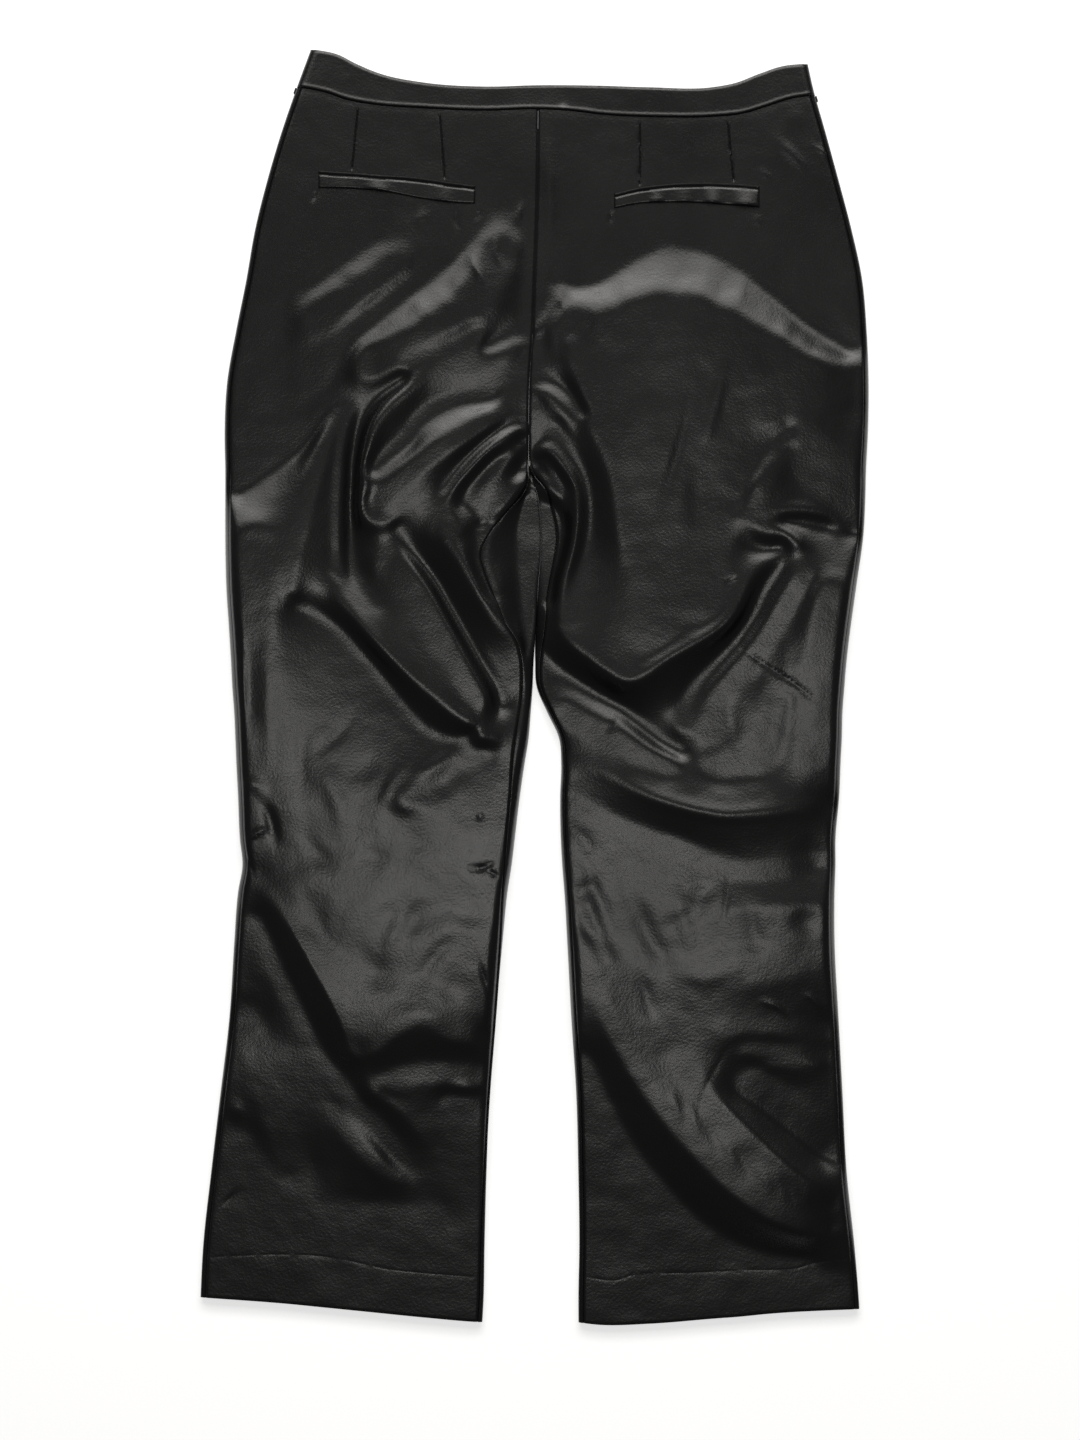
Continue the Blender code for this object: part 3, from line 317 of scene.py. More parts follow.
    ("shinPatch", 3, [(-12, -31.8, 14.5), (-10.6, -33, 14), (-9, -34.8, 12), (-7.9, -36.2, 10)]),
    ("shinPatch2", 3, [(-7, -32.2, 11.5), (-5.4, -32.3, 11), (-4.2, -32.2, 9)]),
    ("longRidge", 3, [(-21.9, -14.6, 15), (-20.2, -17.1, 17.5), (-18.2, -20.4, 19.5),
        (-16.4, -23.6, 20.5), (-15, -26.2, 20.5), (-14.4, -28.4, 19.5)]),
    ("longRidgeFoot", 5, [(-22, -18.6, 12.5), (-20.6, -21.6, 12), (-19, -25, 11.5), (-17.2, -28.6, 11.5),
        (-14.6, -32, 11.5), (-12, -35, 10), (-10, -38.2, 8)]),
    ("sideBand", 7, [(-22.6, -26.2, 8.3), (-21.8, -29, 10.8), (-20.8, -32, 10.8), (-19.8, -35.2, 9.3),
        (-18.6, -38, 6.8)]),
    ("shinBand", 4, [(-16.2, -33, 11), (-14.4, -35.4, 12), (-12.4, -37.4, 11.5), (-10.6, -38.4, 9.5)]),
    ("shinFlat", 8, [(-22, -40.5, 7), (-17, -41.5, 7), (-8, -42, 7)]),
    ("shinFlat2", 8, [(-23.5, -36, 8), (-20.5, -41, 7)]),
    ("hemLeft", 8, [(-24, -46.6, 7), (-15, -47.2, 7), (-6, -48, 7)]),
])

# Fine creases pressed into the folded cloth: height in mm, raised or sunk, width in mm, points in cm
creases = table("height width line", [
    # left leg, outer side
    (0.6, 5, [(-21, 6), (-21.1, 2), (-21, -4), (-21, -8)]),
    (-0.6, 5, [(-22.3, 4), (-22.4, 0), (-22.2, -5)]),
    (0.7, 2, [(-22.9, 6), (-22.9, 0), (-22.7, -5)]),
    (1.0, 5, [(-23, -9), (-22.3, -7.6), (-20.8, -8.8)]),
    (-1.5, 4, [(-22.4, -9.4), (-21.2, -9.4), (-20.1, -13)]),
    (1.2, 1.6, [(-23, -12.4), (-22.2, -11.7), (-21.4, -11.2), (-21.3, -12)]),
    (-1.0, 1.6, [(-23, -12.8), (-22.4, -14), (-22, -15)]),
    (-0.9, 9, [(-4.6, -5.2), (-7.4, -7.6), (-10.8, -9.6)]),
    (0.8, 5, [(-5.5, -4.3), (-7.4, -5.8), (-10.4, -7.4)]),
    (-0.6, 11, [(-12.4, -10.3), (-9.6, -11.9), (-6.6, -12.2)]),
    (-1.3, 14, [(-13.4, -16.6), (-10.4, -18.2), (-6.4, -17.8)]),
    (-0.5, 11, [(-14.6, -5.4), (-12.4, -7.6)]),
    (-0.5, 11, [(-14.2, -12.8), (-11.2, -14)]),
    (-0.7, 11, [(-13.8, -20.8), (-11, -24)]),
    (-0.5, 11, [(-7.4, -22.4), (-5.6, -24.6)]),
    (-0.5, 8, [(-19, -14.2), (-17.4, -17.6), (-15.8, -21.6)]),
    (0.8, 8, [(-17.2, -5.5), (-15.6, -9), (-14.8, -12.5)]),
    (-1.0, 2, [(-5.7, -14.3), (-4, -14.1), (-3, -13.4)]),
    (-0.9, 1.6, [(-4, -14.2), (-2.8, -15)]),
    (-0.7, 1.6, [(-4.8, -10.4), (-4, -9.9)]),
    (-1.0, 2, [(-4.7, -21), (-4, -23), (-3.5, -25)]),
    (1.0, 6, [(-24.5, -32.5), (-22.6, -34)]),
    (1.0, 4, [(-7, -31.3), (-3.9, -31.5)]),
    (-0.6, 2, [(-25, -41), (-23, -39.2)]),
    (-0.6, 5, [(-13.6, -1.4), (-16, -4.2), (-18.4, -6)]),
    (0.5, 4, [(-9.4, -5), (-11.6, -8), (-12.6, -11)]),
    (-0.7, 7, [(-18.6, -10.8), (-16.8, -13.4), (-14.8, -14.6)]),
    (-0.6, 6, [(-18, -1.5), (-18.4, -6), (-18.2, -10)]),
    (0.6, 6, [(-8.6, -14.6), (-11, -19), (-12.2, -23)]),
    (-0.7, 6, [(-5.6, -18.6), (-8.2, -21.4), (-9.6, -23.6)]),
    # right leg
    (-0.9, 1.3, [(15.4, 3.6), (17.2, 2.2), (19, 1), (20.5, 0), (21.7, -1), (22.5, -1.35), (23.3, -1.2)]),
    (-0.7, 2, [(5.3, -3.6), (6.6, -2.4)]),
    (-0.45, 2.5, [(15.2, -14), (14.9, -16.5), (14.4, -19.5)]),
    (-0.7, 7, [(14.6, -16.6), (12, -18), (9, -19.4)]),
    (-0.9, 8, [(6.2, -13.4), (7.6, -17), (9.6, -21), (11, -24.4)]),
    (-1.0, 8, [(2.4, -16.4), (5.2, -15.4)]),
    (-0.9, 9, [(12, -15.4), (13.8, -17.2)]),
    (-1.0, 10, [(19.6, -17.8), (22.4, -19.2)]),
    (0.7, 8, [(10, -21.8), (13.4, -22.8), (16.4, -21.6)]),
    (0.405, 3.24, [(10.4, -31), (11, -33), (11.4, -34.4)]),
    (0.405, 3.24, [(11.8, -32), (12.4, -34), (12.9, -36)]),
    (-0.36, 3.6, [(13, -33.4), (13.8, -35.2), (14.4, -37)]),
    (0.405, 3.6, [(14.4, -34.8), (15.2, -36.6), (15.6, -38.4)]),
    (-0.36, 3.6, [(15.6, -35.6), (16.4, -37.6), (16.8, -39)]),
    (0.36, 3.6, [(17.4, -37), (18, -38.6), (18.4, -40.2)]),
    (-0.36, 3.6, [(19.2, -38), (19.8, -39.4), (20.2, -40.8)]),
    (0.36, 3.6, [(20.8, -38.6), (21.2, -40), (21.6, -41)]),
    (0.8, 6, [(2.5, -10.4), (4.8, -13.4)]),
    (0.9, 4, [(15, 27), (14, 22), (12.5, 17)]),
    (-0.9, 3, [(12.3, 24.6), (11.5, 20), (10, 15), (9.2, 11.7)]),
    (-0.8, 1.5, [(14.5, 8.1), (16, 8.6)]),
    (0.8, 2, [(20.5, -23.8), (21.7, -24.5), (22.6, -25.9)]),
    (0.8, 2, [(17, -24.5), (18.8, -25), (20, -26.3)]),
    (-0.3, 2, [(12.4, -34.5), (13.2, -31.5), (14.6, -28.9), (16, -26.6)]),
    (1.0, 5, [(2.2, 4.2), (2.9, 3.4), (4.2, 2.3), (5.7, 1.2), (7, 0.5), (8.4, 0.9), (10, 2.1), (12, 3.2),
        (14, 4.4), (15.2, 5.5), (16, 7), (16.8, 8.7), (18, 9.7)]),
    (1.0, 5, [(3, -5.5), (4.6, -6.3), (6.3, -7.2), (8.2, -8.2), (10.2, -9), (12.4, -9.6), (14.8, -10),
        (17, -9.9), (19, -9.7), (20.8, -9.4), (22.8, -9.1)]),
    (0.8, 4.5, [(-15.8, 8.2), (-14, 5.2), (-12.5, 3.5), (-11, 1.9), (-9.5, 0.45), (-8, -0.8), (-6.5, -2),
        (-5.2, -3)]),
    (0.8, 4.5, [(-9.4, 24.2), (-10.4, 23), (-11.5, 22), (-12.7, 20.3), (-13.3, 18), (-13.6, 15.5),
        (-13.6, 13.8), (-12.6, 12.9)]),
    (0.75, 4.5, [(2.4, 16.9), (3.05, 15.8), (3.3, 14), (3.1, 12), (2.7, 10.2), (2.1, 8.6), (1.8, 7.2),
        (1.8, 5.6)]),
    (0.8, 4.5, [(16, 13.2), (17.4, 13.6), (19, 13.9), (20.6, 14), (22, 13.8), (23.4, 13.1), (24.4, 12.3)]),
    (0.75, 4.5, [(-1, 20.6), (-2.6, 19.7), (-4.2, 18.5), (-5.6, 17), (-6.6, 15.6), (-6.9, 14.4)]),
    (0.75, 4.5, [(-5.8, 11.8), (-4.8, 8.6), (-3.6, 6), (-2.6, 4.6)]),
    (0.4, 2.5, [(-21, -15.2), (-19.4, -18.4), (-17.6, -21.6), (-16, -24.6), (-14.8, -27.4)]),
    (0.6, 4, [(20.2, -29.2), (21.8, -29.5), (23.2, -29.6)]),
    (-0.6, 6, [(17.8, 4), (17.2, 0), (16.6, -4)]),
    (0.5, 5, [(19.6, 6), (19.4, 0), (18.6, -6)]),
    (-0.6, 6, [(21.2, 3), (21, -1), (20.4, -5.4)]),
    (-0.5, 5, [(14.8, -0.6), (15.4, -3), (15.6, -6)]),
    (-0.7, 7, [(16.6, -15.8), (17, -19), (17.8, -22)]),
    (0.6, 6, [(10.8, -14.6), (11.4, -18), (12.6, -21.6)]),
    (-0.7, 6, [(3.6, -12.8), (4.8, -16.4), (6, -19.8)]),
    (0.6, 5, [(2.6, -12), (3.6, -15.4), (5, -19.4), (7.2, -24)]),
    (-0.6, 5, [(9.2, -26.6), (8.6, -24), (7.6, -21.6)]),
    # hips
    (1.0, 4, [(0.9, 44.6), (1.0, 40), (1.1, 34)]),
    (0.6, 2, [(21.4, 42.8), (22.3, 42.1), (23.1, 41.5)]),
    (0.4, 6, [(19, 44.8), (21.4, 44.6)]),
    (0.9, 4, [(18.2, 43.6), (19.8, 42), (21.6, 40.2)]),
    (0.6, 3, [(17.2, 40.8), (18.6, 39.6)]),
    (0.6, 3, [(16.8, 36.8), (17.8, 36.4)]),
    (-0.8, 1.4, [(-17.1, 39.2), (-17.8, 37.8)]),
    (-0.8, 1.4, [(5.95, 37.5), (5.8, 36.1)]),
    (-0.7, 1.6, [(-6.2, 37.6), (-6.3, 36.6), (-6.0, 35.6)]),
    (-0.6, 1.6, [(-5.0, 36.6), (-4.2, 37.4)]),
    (0.7, 4, [(-9.8, 36.2), (-8.2, 37.4)]),
    # seat
    (0.9, 2.5, [(-3.1, 35.6), (-3.2, 34), (-2.8, 32.6)]),
    (0.9, 2.5, [(-1.0, 38.4), (-1.4, 37), (-1.6, 36)]),
    (0.8, 1.5, [(-5.1, 33.6), (-4.6, 32.4), (-4.0, 31.2)]),
    (1.0, 2, [(2.0, 31.4), (1.9, 30.2), (2.2, 29.2)]),
    (0.6, 4, [(16.4, 33), (16, 31), (15.2, 28.6)]),
    (-0.6, 6, [(15, 33.6), (14.6, 31.4), (14, 28.8)]),
    (0.5, 6, [(9.8, 34.4), (9.4, 32), (9, 29.4)]),
    (-0.6, 6, [(11.6, 34.8), (11.4, 32.4), (10.8, 29.6)]),
    (-0.6, 7, [(6.4, 32.4), (6.2, 30.6), (6.2, 29)]),
    (0.5, 6, [(20.4, 29.4), (19.6, 28), (18.6, 26.8)]),
    (-0.5, 6, [(22.6, 27.6), (21.6, 26.4), (21, 25.6)]),
    (0.6, 6, [(-9.6, 30.8), (-8.8, 29.4), (-8.4, 28.4)]),
    (-0.6, 6, [(-7.6, 32.4), (-6.8, 31), (-6.2, 29.8)]),
    (0.6, 5, [(-5.6, 34.4), (-4.8, 32.8), (-4.4, 31.4)]),
    (-0.5, 6, [(-15.4, 32.6), (-14.8, 31.4), (-14.4, 30.6)]),
    (0.5, 4, [(13.4, 34), (13.2, 32), (12.6, 29.6)]),
])

# Sewn lines that show as narrow grooves: depth and width in mm, points in cm
sewn = table("name depth width line", [
    ("dartLeftOuter", 0.8, 0.5, [(-14.0, 45.6), (-14.25, 43), (-14.5, 40.4)]),
    ("dartLeftInner", 0.8, 0.5, [(-7.6, 45.1), (-7.4, 42.4), (-7.2, 39.7)]),
    ("dartRightInner", 0.8, 0.5, [(8.1, 44.5), (8.15, 42), (8.1, 39.2)]),
    ("dartRightOuter", 0.8, 0.5, [(15.0, 44.6), (15.25, 42), (15.5, 39.5)]),
    ("hemLeft", 0.12, 0.7, [(-26.3, -44.8), (-22, -44.6), (-18, -44.6), (-15, -45), (-11, -45.8),
        (-4, -46.4)]),
    ("hemRight", 0.12, 0.7, [(3.2, -46.2), (6, -46.6), (8, -46.1), (12, -46), (16, -45.8), (20, -45.7),
        (22, -45.2), (25.4, -44.7)]),
])

# Where the welts bulge: middle and width across in cm, height in mm at the lower edge
weltPuffs = {
    "left": table("middle width height", [(-12.4, 0.9, 2.0), (-7.2, 0.8, 1.2), (-15.4, 1.2, 0.6)]),
    "right": table("middle width height", [
        (16.4, 0.9, 3.0), (13.8, 0.6, 2.2), (11.6, 0.7, 1.2), (9.4, 0.5, 1.6)]),
}
# Back pocket welts, in cm
welts = {
    "left": table("across lower upper", [
        (-17.1, 39.15, 40.5),
        (-14, 39.05, 40.3),
        (-12, 38.85, 40.15),
        (-9, 38.3, 39.9),
        (-7, 38.0, 39.6),
        (-4.8, 37.9, 39.3),
    ]),
    "right": table("across lower upper", [
        (6.1, 37.55, 38.7),
        (8, 37.9, 39.15),
        (10.5, 38.0, 39.45),
        (13, 37.95, 39.55),
        (15, 37.8, 39.5),
        (17.5, 37.6, 39.3),
    ]),
}


def blend(a, b, t):
    return a + (b - a) * t


def ease(t):
    t = np.clip(t, 0, 1)
    return t * t * (3 - 2 * t)


def roundOver(q):
    # 0 on a side line, 1 where the face has levelled out
    q = np.clip(q, 0, 1)
    return np.sqrt(np.clip(1 - (1 - q) ** 2, 0, 1))


def through(places, values, at):
    # smooth curve through a table's column
    slope = np.gradient(values, places)
    at = np.clip(at, places[0], places[-1])
    i = np.clip(np.searchsorted(places, at, side="right") - 1, 0, len(places) - 2)
    run = places[i + 1] - places[i]
    t = (at - places[i]) / run
    start = (1 + 2 * t) * (1 - t) ** 2 * values[i] + t * (1 - t) ** 2 * run * slope[i]
    end = t * t * (3 - 2 * t) * values[i + 1] + t * t * (t - 1) * run * slope[i + 1]
    return start + end


def column(rows, key, name, at):
    places = np.array([getattr(row, key) for row in rows]) * cm
    values = np.array([getattr(row, name) for row in rows]) * cm
    return through(places, values, at)


def outline(name, y):
    return column(sections, "height", name, y)


def endLine(name, x):
    return column(ends, "across", name, x)


def drawnLine(points, step=0.25):
    # Catmull-Rom curve through the points, a sample about every step cm
    p = np.array(points, float)
    q = np.vstack([2 * p[0] - p[1], p, 2 * p[-1] - p[-2]])
    samples = []
    for a, b, c, d in zip(q, q[1:], q[2:], q[3:]):
        count = max(2, int(np.hypot(*(c - b)[:2]) / step))
        t = np.linspace(0, 1, count, endpoint=False)[:, None]
        samples.append(0.5 * (2 * b + (c - a) * t + (2 * a - 5 * b + 4 * c - d) * t ** 2
                              + (3 * b - a - 3 * c + d) * t ** 3))
    samples.append(p[-1:])
    return np.vstack(samples)


def awayFrom(line, x, y, reach):
    # distance to a drawn line and the share of its length there, for the points within reach
    near = np.flatnonzero((x > line[:, 0].min() - reach) & (x < line[:, 0].max() + reach)
                          & (y > line[:, 1].min() - reach) & (y < line[:, 1].max() + reach))
    a, b = line[:-1, :2], line[1:, :2]
    along = b - a
    p = np.stack([x[near], y[near]], -1)[:, None, :]
    t = np.clip(((p - a) * along).sum(-1) / np.maximum((along ** 2).sum(-1), 1e-9), 0, 1)
    gap = np.hypot(*np.moveaxis(a + along * t[..., None] - p, -1, 0))
    nearest = gap.argmin(1)
    rows = np.arange(len(near))
    return near, gap[rows, nearest], (nearest + t[rows, nearest]) / len(a)


# How the cloth settles over its ridges and into its valleys
relaxing = {
    "spacing": 0.25,           # cm
    "hold": 6.0,               # pull of a fold on its own line
    "restHeight": 8.0,         # mm
    "reach": 25.0,             # cm, how slowly a fold fades out
    "passes": (600, 400, 300, 160),
    "pullReach": 2.6,          # in widths of the fold
    "creaseReach": 3,          # in widths of the crease
    "leastWidth": 0.6,         # of a fold, in spacings
    "creaseTaper": 0.5,        # share of the line over which its end fades
    "sewnTaper": 0.08,
}


class FoldedCloth:
    # height of the cloth's upper face over the plan
    west, east, south, north = -28.0, 28.0, -52.0, 52.0

    def __init__(self):
        lines = [(fold.roundness, drawnLine(fold.line)) for fold in folds]
        self.creaseLines = [(row.height, row.width * cmPerMm, drawnLine(row.line)) for row in creases]
        self.sewnLines = [(-row.depth, row.width * cmPerMm, drawnLine(row.line)) for row in sewn]
        passes = relaxing["passes"]
        height = None
        for level, count in enumerate(passes):
            spacing = relaxing["spacing"] * 2 ** (len(passes) - 1 - level)
            xs = np.linspace(self.west, self.east, int((self.east - self.west) / spacing) + 1)
            ys = np.linspace(self.south, self.north, int((self.north - self.south) / spacing) + 1)
            hold, goal = self.foldPull(lines, xs, ys, spacing)
            if height is None:
                height = np.full(hold.shape, relaxing["restHeight"])
            else:
                height = self.finer(height, hold.shape)
            height = self.settle(height, self.clothMask(xs, ys, spacing), hold, goal, spacing, count)
        self.spacing = spacing
        self.height = height

    def clothMask(self, xs, ys, spacing):
        x = np.meshgrid(xs, ys)[0]
        names = sections[0]._fields[1:]
        leftOut, leftIn, rightIn, rightOut = (outline(name, ys * cm)[:, None] / cm for name in names)
        covered = (x > leftOut - spacing) & (x < rightOut + spacing)
        betweenLegs = (x > leftIn + spacing / 2) & (x < rightIn - spacing / 2)
        return (covered & ~betweenLegs).astype(float)

    def foldPull(self, lines, xs, ys, spacing):
        x, y = np.meshgrid(xs, ys)
        hold = np.zeros(x.size)
        goal = np.zeros(x.size)
        for roundness, line in lines:
            width = max(roundness * cmPerMm, relaxing["leastWidth"] * spacing)
            near, gap, share = awayFrom(line, x.ravel(), y.ravel(), relaxing["pullReach"] * width)
            pull = relaxing["hold"] * np.exp(-(gap / width) ** 2)
            hold[near] += pull
            goal[near] += pull * np.interp(share * (len(line) - 1), np.arange(len(line)), line[:, 2])
        return hold.reshape(x.shape), goal.reshape(x.shape)

    def settle(self, height, mask, hold, goal, spacing, count):
        rest = (spacing / relaxing["reach"]) ** 2 / 4
        near = np.pad(mask, 1)
        neighbours = near[1:-1, :-2] + near[1:-1, 2:] + near[:-2, 1:-1] + near[2:, 1:-1]
        share = 1 / np.maximum(neighbours, 1)
        for _ in range(count):
            h = np.pad(height * mask, 1)
            total = h[1:-1, :-2] + h[1:-1, 2:] + h[:-2, 1:-1] + h[2:, 1:-1]
            mean = np.where(neighbours > 0, total * share, height)
            height = (mean + rest * relaxing["restHeight"] + goal) / (1 + rest + hold)
        return height

    def finer(self, height, shape):
        rows = np.linspace(0, height.shape[0] - 1, shape[0])
        cols = np.linspace(0, height.shape[1] - 1, shape[1])
        tall = np.array([np.interp(rows, np.arange(height.shape[0]), c) for c in height.T]).T
        return np.array([np.interp(cols, np.arange(height.shape[1]), r) for r in tall])

    def at(self, x, y):
        # height in metres at plan points in metres
        shape = np.shape(x)
        x = np.ravel(x) / cm
        y = np.ravel(y) / cm
        fx = (x - self.west) / self.spacing
        fy = (y - self.south) / self.spacing
        i = np.clip(np.floor(fx).astype(int), 1, self.height.shape[1] - 3)
        j = np.clip(np.floor(fy).astype(int), 1, self.height.shape[0] - 3)
        across = splineWeights(np.clip(fx - i, 0, 1))
        along = splineWeights(np.clip(fy - j, 0, 1))
        total = 0.0
        for b in range(4):
            for a in range(4):
                total = total + along[b] * across[a] * self.height[j + b - 1, i + a - 1]
        for lines, taper in ((self.creaseLines, relaxing["creaseTaper"]),
                             (self.sewnLines, relaxing["sewnTaper"])):
            for rise, width, line in lines:
                near, gap, share = awayFrom(line, x, y, relaxing["creaseReach"] * width)
                ends = ease(share / taper) * ease((1 - share) / taper)
                total[near] += rise * ends * np.exp(-(gap / width) ** 2)
        return np.maximum(total * mm, cloth["leastLoft"]).reshape(shape)


def splineWeights(t):
    # cubic B-spline weights of the four rows around a place
    return ((1 - t) ** 3 / 6, (3 * t ** 3 - 6 * t ** 2 + 4) / 6,
            (-3 * t ** 3 + 3 * t ** 2 + 3 * t + 1) / 6, t ** 3 / 6)


def zones(u, faces):
    # which stretch of the way round a fraction is in, and how far along that stretch
    marks = np.cumsum((0,) + faces) / sum(faces)
    zone = np.clip(np.searchsorted(marks, u, side="right") - 1, 0, len(faces) - 1)
    return zone, (u - marks[zone]) / (marks[zone + 1] - marks[zone])


class Leg:
    # closed form of one leg: rounded sides, a folded upper face and a flat under face

    def __init__(self, side, folded):
        self.side = side
        self.sign = -1 if side == "left" else 1
        self.folded = folded

    def rounded(self, y):
        return ease((cloth["crotch"] - y) / cloth["crotchRun"])

    def edges(self, y):
        outer = outline(self.side + "Out", y)
        inner = outline(self.side + "In", y) + self.sign * cloth["legGap"] / 2 * self.rounded(y)
        return outer, inner

    def plan(self, across, along):
        hemX = blend(*self.edges(cloth["hemHeight"]), across)
        waistX = blend(*self.edges(cloth["waistHeight"]), across)
        y = blend(endLine("hem", hemX), endLine("waist", waistX), along)
        outer, inner = self.edges(y)
        return blend(outer, inner, across), y

    def seams(self, along):
        y = blend(cloth["hemHeight"], cloth["waistHeight"], along)
        outer, inner = self.edges(y)
        width = np.abs(inner - outer)
        inseam = np.maximum(column(inseams, "height", self.side, y), 0)
        return cloth["seamIn"] / width, 1 - inseam / width, width, y

    def upper(self, x, y):
        outer, inner = self.edges(y)
        top = self.folded.at(x, y)
        turn = np.clip(cloth["turnShare"] * top, cloth["turnLeast"], cloth["turnMost"])
        outside = roundOver(np.abs(x - outer) / turn)
        inside = roundOver(np.abs(x - inner) / blend(turn, cloth["touchTurn"], self.touching(y)))
        inside = blend(1.0, inside, self.rounded(y))
        dip = cloth["dip"] * np.exp(-(self.fromWaist(x, y) / cloth["dipReach"]) ** 2)
        return cloth["sideRise"] + (top - cloth["sideRise"]) * outside * inside - dip

    def fromWaist(self, x, y):
        return endLine("waist", x) - y

    def touching(self, y):
        # 1 where the two legs lie against each other
        return self.rounded(y) * ease((y - cloth["touchFrom"]) / cloth["touchRun"])

    def leaning(self, x, y, z):
        near = np.exp(-((x - self.edges(y)[1]) / cloth["leanReach"]) ** 2)
        return x + cloth["lean"] * (z - cloth["sideRise"]) * near * self.touching(y), y, z

    def lower(self, x, y):
        outer, inner = self.edges(y)
        outside = roundOver(np.abs(x - outer) / cloth["underTurn"])
        inside = roundOver(np.abs(x - inner) / cloth["underTurn"])
        inside = blend(1.0, inside, self.rounded(y))
        return cloth["sideRise"] * (1 - outside * inside)

    def back(self, u, v):
        sideSeam, innerSeam, width, _ = self.seams(v)
        halfGap = cloth["seamGap"] / 2 / width
        across = blend(sideSeam + halfGap, innerSeam - halfGap, u)
        x, y = self.plan(across, v)
        return self.leaning(x, y, self.upper(x, y))

    def front(self, u, v):
        sideSeam, innerSeam, width, nominal = self.seams(v)
        halfGap = cloth["seamGap"] / 2 / width
        under = cloth["underTurn"] / width
        zone, t = zones(u, cloth["frontFaces"])
        rounded = self.rounded(nominal)
        joined = ease((cloth["joinHeight"] - nominal) / cloth["joinRun"])
        lastOffset = halfGap + np.maximum(1 - innerSeam - 3 * halfGap, 0)
        offset = np.choose(zone, [
            1 - (sideSeam - halfGap) * (1 - t) ** 2,
            1 - under * t * t,
            blend(1 - under, under * (2 - rounded), t),
            blend(blend(2 * under, 2 * halfGap, t), under * (1 - t) ** 2, rounded),
            blend(blend(2 * halfGap, lastOffset, t), lastOffset * ease(t), rounded),
        ])
        x, y = self.plan(1 - offset, v)
        upper, lower = self.upper(x, y), self.lower(x, y)
        last = blend(upper * joined * t * t, upper, rounded)
        return self.leaning(x, y, np.choose(zone, [upper, lower, lower, lower, last]))


class Waistband:
    # places on it run from -1 at the left side line to 1 at the right one

    def __init__(self, legs, folded):
        self.legs = legs
        self.folded = folded

    def across(self, place, y):
        leftOuter, centre = self.legs[0].edges(y)
        rightOuter = self.legs[1].edges(y)[0]
        side = np.where(place < 0, leftOuter, rightOuter)
        return blend(centre, side, np.abs(place)), np.abs(side - centre) * (1 - np.abs(place))

    def surface(self, place, along, drop, over):
        lowX = self.across(place, cloth["waistHeight"])[0]
        low = endLine("waist", lowX) + band["gap"]
        high = endLine("top", lowX) - drop * np.cos(pi / 2 * place)
        y = blend(low, high, along)
        x, inward = self.across(place, y)
        top = self.folded.at(x, y) + band["raise"]
        fromSeam, fromTop = y - low, high - y
        lip = band["lip"] * np.exp(-((fromSeam - band["lipPlace"]) / band["lipWidth"]) ** 2)
        sunk = band["sink"] * (np.exp(-(fromSeam / band["sinkLow"]) ** 2)
                               + band["topShare"] * np.exp(-(fromTop / band["sinkTop"]) ** 2))
        bump = band["bump"] * np.exp(-((x - band["bumpPlace"]) / band["bumpWidth"]) ** 2
                                     - (fromSeam / band["bumpHeight"]) ** 2)
        top = top + lip - sunk + bump
        upper = band["sideRise"] + (top - band["sideRise"]) * roundOver(inward / band["turn"])
        lower = band["sideRise"] * (1 - roundOver(inward / cloth["underTurn"]))
        return x, y, np.where(over, upper, lower)

    def halfWidth(self, place):
        marks = np.abs([self.across(end, cloth["waistHeight"])[0] for end in (-1, 0, 1)])
        return np.where(place < 0, marks[0] + marks[1], marks[2] - marks[1])

    def back(self, u, v):
        place = 2 * u - 1
        seam = (cloth["seamIn"] + cloth["seamGap"] / 2) / self.halfWidth(place)
        return self.surface(place * (1 - seam), v, 0.0, True)

    def front(self, u, v):
        place = 2 * u - 1
        width = self.halfWidth(place)
        seam = (cloth["seamIn"] - cloth["seamGap"] / 2) / width
        under = cloth["underTurn"] / width
        zone, t = zones(np.abs(place), band["frontFaces"])
        reach = np.choose(zone, [
            2 * under * t,
            blend(2 * under, 1 - under, t),
            1 - under * (1 - t) ** 2,
            1 - seam * t * t,
        ])
        return self.surface(np.sign(place) * reach, v, band["frontDrop"], zone == 3)


def slab(across, along):
    # a flat unit slab of cloth, its face up, its columns and rows at the given places
    bm = bmesh.new()
    bmesh.ops.create_grid(bm, x_segments=len(across) - 1, y_segments=len(along) - 1, size=0.5)
    bmesh.ops.solidify(bm, geom=bm.faces[:] + bm.edges[:] + bm.verts[:], thickness=1.0)
    bmesh.ops.recalc_face_normals(bm, faces=bm.faces)
    top = max(vert.co.z for vert in bm.verts)
    for vert in bm.verts:
        vert.co.x = across[round((vert.co.x + 0.5) * (len(across) - 1))]
        vert.co.y = along[round((vert.co.y + 0.5) * (len(along) - 1))]
        vert.co.z = 0.0 if top - vert.co.z < 0.5 else 1.0
    return bm


def unevenSteps(*spans):
    # places from 0 to 1, each span given as where it ends and how many steps it has
    places, start = [np.zeros(1)], 0.0
    for end, count in spans:
        places.append(np.linspace(start, end, count + 1)[1:])
        start = end
    return np.concatenate(places)


def flatPlaces(bm):
    flat = np.array([vert.co for vert in bm.verts])
    return flat[:, 0], flat[:, 1], flat[:, 2]


